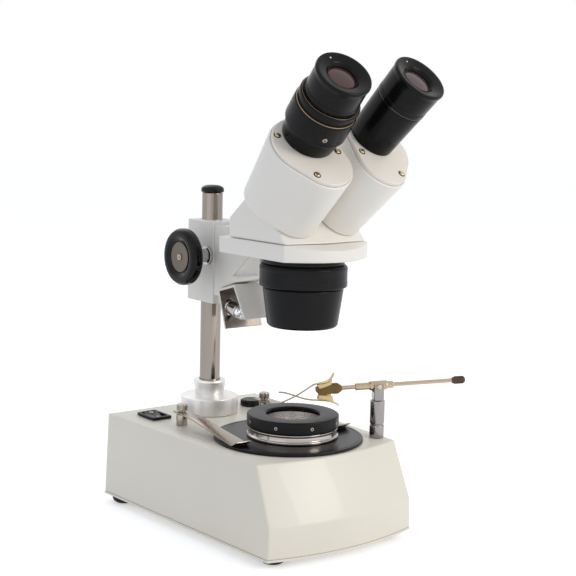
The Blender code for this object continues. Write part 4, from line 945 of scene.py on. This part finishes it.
def makeEyeSide(name, side):
    body = name + "_eye"
    label = name.title()
    at = eyeFrame(side)
    low, high = gap, gap + eye["length"]
    levels = ((housingOutline(side, eye["taper"]), low), (housingOutline(side), high))
    housing = softEdges(stack("prismHousing" + label, levels, at, castCoat, 25), 1.1, 4, 50)
    # a shallow step in the top that the cap drops into
    seatLine = housingOutline(side, eye["capInset"] - gap)
    cut(housing, slab("capSeat", seatLine, high - 0.5, high + 4, at))
    keep(settle(housing, 30), body, ["prism_housing_" + name])

    z = high + gap
    top = z + eye["capThick"]
    capNode = "end_cap_" + name
    cap = slab("eyeCap" + label, housingOutline(side, eye["capInset"]), z - 0.6, top, at, capCoat)
    keep(settle(softEdges(cap, 0.35, 3, 50), 30), body, [capNode])
    z = top
    spots = [(side * x, y, z) for x, y in eye["screws"]]
    addScrews("capScrews" + label, 1.75, 1.0, at, screwMetal, body, capNode, spots)
    # a painted shadow round each screw: a thin black disc on the cap under each head
    shadow = blackSatin("capPit" + label)
    unit = lathe("pit", [(0, 0), (2.25, 0), (2.25, 0.1), (0, 0.1)], segments=24)
    keep(spotsOf("capPits" + label, unit, spots, at, shadow), body, (), capNode)

    tubeAt = at @ standing(side * eye["tube"][0], eye["tube"][1])
    black = blackSatin("tubeBlack" + label, tubeAt, 0.26)
    line = turnedMetal("brightLine" + label, linear(140, 120, 94), 0.3, tubeAt, 0.1)
    rim = z + eye["rim"]
    z += gap
    if side > 0:
        top = z + 31.5
        corners = [(eye["bore"], z), (14.6, z, 0.2), (15.1, z + 11), (15.9, top - 1.2, 0.2),
                   (15.6, top, 0.3), (eye["bore"], top)]
        keep(lathe("tubeRight", corners, tubeAt, black, 112), body, ["eyepiece_tube_right"])
        seat = top + gap
        wide = 16.1
    else:
        corners = [(eye["bore"], z), (16.3, z, 0.3), (17.8, z + 10.3, 0.2), (15, z + 10.3),
                   (15, z + 26.3, 0.3), (eye["bore"], z + 26.3)]
        keep(lathe("tubeLeft", corners, tubeAt, black, 112), body, ["eyepiece_tube_left"])
        d = z + 10.6
        corners = [(15.3, d), (18.5, d, 0.3), (19.1, d + 0.9, 0.3), (19.1, d + 15.2, 0.3),
                   (18.4, d + 16.0, 0.3), (17.3, d + 16.3, 0.2), (17.3, d + 18.9, 0.2),
                   (18.5, d + 19.3, 0.3), (18.5, d + 22.0, 0.4), (17.6, d + 22.6, 0.3), (15.3, d + 22.6)]
        ringBlack = blackSatin("dioptreBlack", tubeAt, 0.28)
        keep(lathe("dioptreRing", corners, tubeAt, ringBlack, 128), "diopter", ["diopter_ring"])
        for i, (r, h) in enumerate(((18.5, d + 16.0), (18.0, d + 22.35))):
            corners = [(r - 0.5, h - 0.1), (r + 0.02, h - 0.15), (r - 0.35, h + 0.24), (r - 0.6, h + 0.2)]
            keep(lathe("dioptreLine%d" % i, corners, tubeAt, line, 128), "diopter", (), "diopter_ring")
        # index screw and a plain scale of ticks
        spin = tubeAt @ spun(-108)
        corners = [(0, -0.6), (1.5, -0.6), (1.5, 0.1, 0.1), (0.6, 0.12), (0.5, -0.3), (0, -0.3)]
        unit = lathe("grub", corners, spun(90, "Y"), None, 24)
        place = spin @ standing(19.05, 0, d + 6.2)
        keep(spotsOf("dioptreScrew", unit, [(0, 0, 0)], place, steelStrip), "diopter", (), "diopter_ring")
        tick = block("tick", (-0.3, -0.14, -0.9), (0.06, 0.14, 0.9))
        scaleAt = tubeAt @ standing(0, 0, d + 12.8)
        ticks = ringOf("dioptreTicks", tick, eye["ticks"], 19.08, scaleAt, blackPlastic)
        keep(ticks, "diopter", (), "diopter_ring")
        seat = d + 22.9
        wide = 16.5

    ocular = name + "_ocular"
    eyepiece = "eyepiece_" + name
    outer = eye["outer"]
    corners = [(10, seat - 12), (12, seat - 12, 0.3), (12, seat), (wide, seat, 0.3), (wide, seat + 3.0, 0.2),
               (wide - 0.25, seat + 3.2), (wide - 0.25, seat + 3.6), (wide, seat + 3.8, 0.2),
               (outer - 0.3, rim - 4, 0.4), (outer + 0.3, rim - 1.4, 0.5), (outer - 0.2, rim, 0.6),
               (outer - 2.0, rim - 0.25, 0.5), (10.4, rim - 1.6, 0.4), (9.2, rim - 2.9, 0.3), (9.2, rim - 9),
               (10, rim - 9)]
    barrel = blackSatin("ocularBlack" + label, tubeAt, 0.26, 0.06)
    keep(lathe("ocular" + label, corners, tubeAt, barrel, 128), ocular, [eyepiece])
    corners = [(wide - 0.3, seat + 0.05), (wide + 0.03, seat + 0.05), (wide + 0.03, seat + 0.22),
               (wide - 0.3, seat + 0.22)]
    keep(lathe("ocularLine" + label, corners, tubeAt, line, 128), ocular, (), eyepiece)
    # painted coating reflection for each eye lens, redder on the left than on the right
    glow = linear(92, 50, 44) if side < 0 else linear(96, 76, 70)
    lens = lensGlass("ocularGlass" + label, tubeAt, glow)
    corners = [(0, rim - 7.5), (9.1, rim - 7.5), (9.1, rim - 4.6, 0.1)]
    corners += quarterArc(9.1, rim - 4.6, 1.5, 12) + [(0, rim - 3.1)]
    keep(lathe("ocularLens" + label, corners, tubeAt, lens, 72), ocular, (), eyepiece)
    retainer = [(8.3, rim - 4.4), (9.15, rim - 4.4), (9.15, rim - 2.7, 0.2), (8.7, rim - 2.7, 0.2)]
    keep(lathe("ocularRetainer" + label, retainer, tubeAt, barrel, 96), ocular, (), eyepiece)
    # one plain dot on the rim where a maker would print
    spot = tubeAt @ spun(100) @ standing(13.2, 0)
    dot = [(0, rim - 1.2), (0.55, rim - 1.2), (0.55, rim - 0.62, 0.1), (0, rim - 0.6)]
    keep(lathe("ocularDot" + label, dot, spot, whiteInk, 24), ocular, (), eyepiece)


# nosepiece

nose = {"x": 0.8, "y": -10.4, "bottom": 129.5, "barrel": 24.8, "ring": 13.6, "radius": 27.4, "neck": 25.4,
        "offset": 11.6, "ports": (8.4, 6.2)}


def makeNosepiece():
    at = standing(nose["x"], nose["y"])
    black = blackSatin("noseBlack", at, 0.34, 0.08, 0.006)
    low = nose["bottom"]
    top = low + nose["barrel"]
    z = top + gap
    ringTop = z + nose["ring"]
    n = nose["neck"]
    corners = [(16, ringTop + gap), (n - 0.4, ringTop + gap, 0.2), (n, ringTop + 0.7, 0.2), (n, 171.4, 0.3),
               (n - 0.6, 171.8), (n - 0.6, 172.5), (16, 172.5)]
    keep(lathe("noseNeck", corners, at, black, 128), "head", ["nosepiece_neck"])
    r = nose["radius"]
    corners = [(16, z), (r - 0.5, z, 0.3), (r, z + 0.6, 0.3), (r, z + 3.4, 0.1),
               (r - 0.12, z + 3.55, 0.05), (r - 0.12, z + 10.3, 0.05), (r, z + 10.5, 0.1),
               (r, ringTop - 1.4, 0.5), (r - 1.1, ringTop, 0.4), (16, ringTop)]
    keep(lathe("noseRing", corners, at, black, 144), "nosepiece", ["nosepiece_ring"])
    corners = [(0, low), (20.8, low, 0.4), (22.1, low + 1.3, 0.8), (25.2, top - 1.2, 0.4), (24.6, top, 0.3),
               (0, top)]
    barrel = lathe("noseBarrel", corners, at, black, 144)
    for k in range(4):
        a = math.pi / 2 * k
        wide = nose["ports"][k % 2]
        spot = standing(nose["x"] + nose["offset"] * math.cos(a), nose["y"] + nose["offset"] * math.sin(a))
        port = [(0, low - 5), (wide, low - 5), (wide, low + 8), (0, low + 8)]
        cut(barrel, lathe("port%d" % k, port, spot, None, 48))
        # a bluish painted reflection of the objective's coating
        glass = lensGlass("objectiveGlass%d" % k, spot, linear(70, 64, 96))
        wide -= 0.1
        dome = [(0, low + 7.9), (wide, low + 7.9), (wide, low + 4.4)]
        dome += quarterArc(wide, low + 4.4, -1.2, 10) + [(0, low + 3.2)]
        lens = lathe("objective%d" % k, dome, spot, glass, 48)
        keep(lens, "nosepiece", (), "nosepiece_barrel")
    keep(settle(barrel), "nosepiece", ["nosepiece_barrel"])
    # a plain index dot on the barrel
    lean = math.atan2(3.1, nose["barrel"] - 2.5)
    spot = at @ spun(-113) @ standing(22.68, 0, low + 6.2)
    spot = spot @ Matrix.Rotation(math.pi / 2 + lean, 4, "Y")
    dot = lathe("indexDot", [(0, -0.4), (1.1, -0.4), (1.1, 0.06, 0.05), (0, 0.08)], spot, whiteInk, 32)
    keep(dot, "nosepiece", (), "nosepiece_barrel")


# gem clip

gem = {"x": 49.5, "y": -28.7, "post": 4.7, "height": 24.0, "rise": 9.6, "rod": 1.3, "sleeve": 3.0,
       "inner": 2.3, "grip": 2.3, "gripRibs": 20, "wire": 0.5}


def clipAxes(along):
    # X runs along the rod to the stone and Z is up.
    side = Vector((0, 0, 1)).cross(along).normalized()
    up = Vector(along).cross(side)
    return Matrix((along, side, up)).transposed().to_4x4()


def makeGemClip():
    at = standing(gem["x"], gem["y"], deck)
    chrome = turnedMetal("postChrome", (0.33, 0.31, 0.3, 1), 0.17, at, 0.1)
    r, h = gem["post"], gem["height"]
    corners = [(0, 0), (r, 0, 0.2), (r, 7.9, 0.3), (r - 0.5, 8.2), (r - 0.5, 8.8), (r, 9.1, 0.3),
               (r, h, 0.3), (0, h)]
    keep(lathe("gemPost", corners, at, chrome, 72), "base", ["gem_post"])

    tilt = joints["clip_rod_turn"]
    along = Vector(tilt["axis"])
    level = Vector((along.x, along.y, 0)).normalized()
    top = (gem["x"] * mm, gem["y"] * mm, 79.8 * mm)
    fork = frameOn(top, (0, 0, 1), Vector((0, 0, 1)).cross(level))
    rise = gem["rise"]
    yoke = [(-r, gap), (r, gap), (r, rise + 1.5), (3.4, rise + 1.5), (3.4, rise - 4.2),
            (-3.4, rise - 4.2), (-3.4, rise + 1.5), (-r, rise + 1.5)]
    saddle = softEdges(sideSlab("gemFork", yoke, 3.2, fork, chrome), 0.6, 3, 40)
    keep(settle(saddle), "clip_fork", ["gem_fork"])
    pivot = frameOn(Vector(tilt["pos_m"]), Vector((0, 0, 1)).cross(level), (0, 0, 1))
    for k, end in enumerate((-4.6, 4.6)):
        turn = pivot if end > 0 else pivot @ spun(180, "X")
        place = turn @ standing(0, -0.4 if end > 0 else 0.4, 4.5)
        addScrews("forkScrew%d" % k, 1.5, 0.7, place, screwMetal, "clip_fork", "gem_fork")

    rodAt = frameOn(tilt["pos_m"], along, (0, 0, 1))
    warm = turnedMetal("sleeveMetal", linear(190, 172, 146), 0.2, rodAt, 0.12)
    r = gem["sleeve"]
    corners = [(2.6, -5.7), (2.8, -5.7, 0.1), (r, -5.3, 0.2), (r, 5.3, 0.2), (2.8, 5.7, 0.1), (2.6, 5.7)]
    keep(lathe("gemSleeve", corners, rodAt, warm, 64), "clip_sleeve", ["gem_sleeve"])
    r = gem["inner"]
    corners = [(1.5, -9.7), (2.1, -9.7, 0.1), (r, -9.4, 0.1), (r, 14.6, 0.1), (2.1, 14.9, 0.1), (1.5, 14.9)]
    keep(lathe("gemInnerSleeve", corners, rodAt, warm, 48), "clip_inner", ["gem_inner_sleeve"])
    corners = [(0, -48), (gem["rod"], -48), (gem["rod"], 23.5), (0, 23.5)]
    keep(lathe("gemRod", corners, rodAt, warm, 32), "clip_rod", ["gem_rod"])
    brown = Finish("brownAnodised", linear(104, 80, 44), 0.36, 0.75)
    brown.set("Base Color", brown.mix(brown.noise(180, 3), linear(84, 62, 34), linear(128, 102, 58)))
    brown.set("Roughness", 0.3 + brown.noise(300, 2) * 0.15)
    brown.bump(brown.noise(1800, 2), 0.3, 0.0001)
    dark = Finish("gripBrown", linear(78, 58, 48), 0.45, 0.2)
    dark.set("Base Color", dark.mix(dark.noise(200, 3), linear(62, 44, 36), linear(96, 74, 62)))
    dark.bump(dark.noise(2200, 2), 0.3, 0.0001)
    r = gem["grip"]
    corners = [(0, -56.8), (1.5, -56.8, 0.2), (r, -55.9, 0.3), (r, -49.6, 0.3), (1.7, -48.3), (0, -48.3)]
    keep(lathe("rodGrip", corners, rodAt, dark.material, 48), "clip_rod", ["gem_rod_knob"])
    addRibs("gripRibs", (-0.3, -0.2, -55.6), (0.2, 0.2, -49.8), 0.1, gem["gripRibs"], r, rodAt,
            dark.material, "clip_rod", "gem_rod_knob")

    flat = Matrix.Translation(Vector(tilt["pos_m"])) @ clipAxes(along)
    corners = [(23.8, -1.6), (26.2, -3.4), (28.4, -3.4), (33.3, -3.0), (34.3, -6.3), (37.3, -6.3),
               (38.3, -2.9), (40.3, -1.4), (40.3, 1.4), (36.8, 3.2), (28.2, 3.4), (26.4, 3.4), (23.8, 1.6)]
    sections = [[(x, y, z * squeeze) for x, z in corners]
                for y, squeeze in ((-2.6, 0.82), (-1.2, 1.0), (1.2, 1.0), (2.6, 0.82))]
    grip = softEdges(loft("clipHead", sections, flat, brown.material, 20), 0.25, 2, 20)
    keep(settle(grip, 20), "clip_rod", ["gem_clip_head"])
    brass = brushedMetal("leverBrass", gold, 0.28, (300, 300, 1400))
    upper = [(28.3, 0, 9.9, 2.2), (31, 0, 5.9, 2.4), (35, 0, 4.3, 2.2), (39.5, 0.6, 3.9, 1.0),
             (42.5, 1.1, 3.2, 0.5)]
    lower = [(26, 0, -10.9, 2.2), (30, 0, -8.6, 2.4), (35, 0, -7.2, 2.4), (40, -0.6, -7, 1.0),
             (43, -1.1, -6.8, 0.5)]
    upperWire = [(39.5, 1.0, 3.9), (42.5, 1.3, 3.2), (48, 1.3, 0), (54, 1.3, -3.2), (60, 1.3, -5.6),
                 (62.8, 1.3, -6.6)]
    lowerWire = [(40, -1.0, -7), (43, -1.3, -6.8), (48, -1.3, -5.6), (54, -1.3, -3.2), (60, -1.3, -1),
                 (64, -1.3, -0.4)]
    cheeks = {"upper": [(30.0, 6.6), (30.6, 3.2), (38.4, 0.6), (39.6, 3.6), (35.0, 4.0), (31.0, 5.6)],
              "lower": [(29.2, -8.9), (30.2, -4.2), (38.6, -3.2), (39.4, -6.7), (35.0, -6.9)]}
    for name, plate, wire in (("upper", upper, upperWire), ("lower", lower, lowerWire)):
        label = name.title()
        body = "jaw_" + name
        jaw = "gem_jaw_" + name
        lever = softEdges(bentStrip("lever" + label, plate, 0.62, flat, brass, 8), 0.12, 2, 50)
        keep(settle(lever), body, [jaw])
        for k, y in enumerate((-2.95, 2.95)):
            sections = [[(x, side, z) for x, z in cheeks[name]] for side in (y - 0.2, y + 0.2)]
            cheek = loft("cheek%s%d" % (label, k), sections, flat, brass)
            keep(settle(softEdges(cheek, 0.1, 2, 40)), body, (), jaw)
        keep(wireAlong("wire" + label, wire, gem["wire"], flat, warm), body, (), jaw)


makeShell()
makeFeet()
makeStage()
makeSwitchgear()
makeStageClips()
print("base made")
makePillar()
makeFocusBlock()
makeArm()
makeLamp()
makeHead()
print("stand and head made")
makeEyeSide("left", -1)
makeEyeSide("right", 1)
makeNosepiece()
makeGemClip()
print("eyepieces, nosepiece and gem clip made")


# CAD pieces that stay, each with a finish of its own

steel = brushedMetal("innerSteel", (0.6, 0.6, 0.6, 1), 0.3, (900, 900, 60))
rackBrass = brushedMetal("rackBrass", gold, 0.3, (60, 900, 900))
ceramic = plastic("ceramic", (0.78, 0.77, 0.72, 1), 0.3, 0.4)
bulbGlass = plastic("frostedGlass", (0.86, 0.86, 0.83, 1), 0.25, 0.3)
prismGlass = plastic("prismGlass", (0.7, 0.75, 0.78, 1), 0.08, 0.1)
carried = {"bottom_plate": creamCoat, "transformer": steel, "dimmer_control": steel, "focus_rack": rackBrass,
           "base_lamp_socket": ceramic, "base_bulb": bulbGlass, "prism_left": prismGlass,
           "prism_right": prismGlass}
for name, material in carried.items():
    node = frame["nodes"][name]
    node.data.materials.clear()
    node.data.materials.append(material)

for obj, body, nodes, slotName in finished:
    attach(obj, body)
    if nodes:
        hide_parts(*nodes)
print("pieces ride on their bodies:", len(finished))


# floor, light and camera

lights = {"world": 0.56, "key": 8.2, "fill": 2.0, "rim": 3.0, "floor": 0.46}


def seenWhite(tree, shader, white):
    # Camera, mirror and glass rays see the white one.
    path = addNode(tree, "ShaderNodeLightPath")
    rays = [Link(tree, path.outputs["Is %s Ray" % kind]) for kind in ("Camera", "Glossy", "Transmission")]
    return addNode(tree, "ShaderNodeMixShader", None, {0: rays[0] + rays[1] + rays[2], 1: shader, 2: white})


def makeStudio():
    scene = bpy.context.scene
    world = bpy.data.worlds.new("studio")
    scene.world = world
    world.use_nodes = True
    tree = world.node_tree
    tree.nodes.clear()
    soft = addNode(tree, "ShaderNodeBackground", None,
                   {"Color": (0.93, 0.975, 1.07, 1), "Strength": lights["world"]})
    white = addNode(tree, "ShaderNodeBackground", None, {"Color": (1, 1, 1, 1), "Strength": 1.0})
    mixed = seenWhite(tree, soft.outputs[0], white.outputs[0])
    addNode(tree, "ShaderNodeOutputWorld", None, {"Surface": mixed.outputs[0]})

    low = min(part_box("foot_" + name)[0].z for name in ("front_left", "rear_right"))
    bm = bmesh.new()
    bmesh.ops.create_grid(bm, x_segments=4, y_segments=4, size=6)
    mesh = bpy.data.meshes.new("floor")
    bm.to_mesh(mesh)
    bm.free()
    floor = bpy.data.objects.new("floor", mesh)
    floor.location.z = low - 0.0002
    scene.collection.objects.link(floor)
    paper = Finish("paper", (0.93, 0.93, 0.93, 1), 0.9)
    paper.set("Roughness", 0.85 + paper.noise(3, 2) * 0.1)
    tree = paper.tree
    glow = addNode(tree, "ShaderNodeEmission", None, {"Color": (1, 1, 1, 1), "Strength": lights["floor"]})
    matt = paper.shader.outputs[0]
    both = addNode(tree, "ShaderNodeAddShader", None, {0: matt, 1: glow.outputs[0]})
    mixed = seenWhite(tree, matt, both.outputs[0])
    tree.links.new(mixed.outputs[0], tree.nodes["Material Output"].inputs["Surface"])
    mesh.materials.append(paper.material)

    for name, place, size, energy, colour in (
            ("key", (0.6, -1.3, 0.75), 0.6, lights["key"], (1, 0.95, 0.87)),
            ("fill", (-1.4, -0.3, 0.7), 1.4, lights["fill"], (0.9, 0.95, 1)),
            ("rim", (0.3, 1.3, 1.3), 1.0, lights["rim"], (1, 1, 1))):
        data = bpy.data.lights.new(name, "AREA")
        data.size = size
        data.energy = energy
        data.color = colour
        lampObj = bpy.data.objects.new(name, data)
        lampObj.location = place
        aim = Vector((0, 0.02, 0.12)) - Vector(place)
        lampObj.rotation_mode = "QUATERNION"
        lampObj.rotation_quaternion = aim.to_track_quat("-Z", "Y")
        scene.collection.objects.link(lampObj)


view = {"place": (-0.4954, -0.6287, 0.2597), "yaw": 38.07, "pitch": 7.68, "roll": 1.37, "lens": 80.625}


def makeCamera():
    yaw, pitch, roll = (math.radians(view[key]) for key in ("yaw", "pitch", "roll"))
    back = Vector((-math.sin(yaw) * math.cos(pitch), -math.cos(yaw) * math.cos(pitch), math.sin(pitch)))
    right = Vector((math.cos(yaw), -math.sin(yaw), 0))
    up = back.cross(right)
    turn = Matrix((right * math.cos(roll) + up * math.sin(roll),
                   up * math.cos(roll) - right * math.sin(roll), back)).transposed()
    data = bpy.data.cameras.new("camera")
    data.lens = view["lens"]
    data.sensor_width = 36
    data.clip_start = 0.01
    camera = bpy.data.objects.new("camera", data)
    camera.matrix_world = Matrix.Translation(view["place"]) @ turn.to_4x4()
    bpy.context.scene.collection.objects.link(camera)
    bpy.context.scene.camera = camera


makeStudio()
makeCamera()
bpy.context.scene.view_settings.view_transform = "Standard"
print("studio ready")
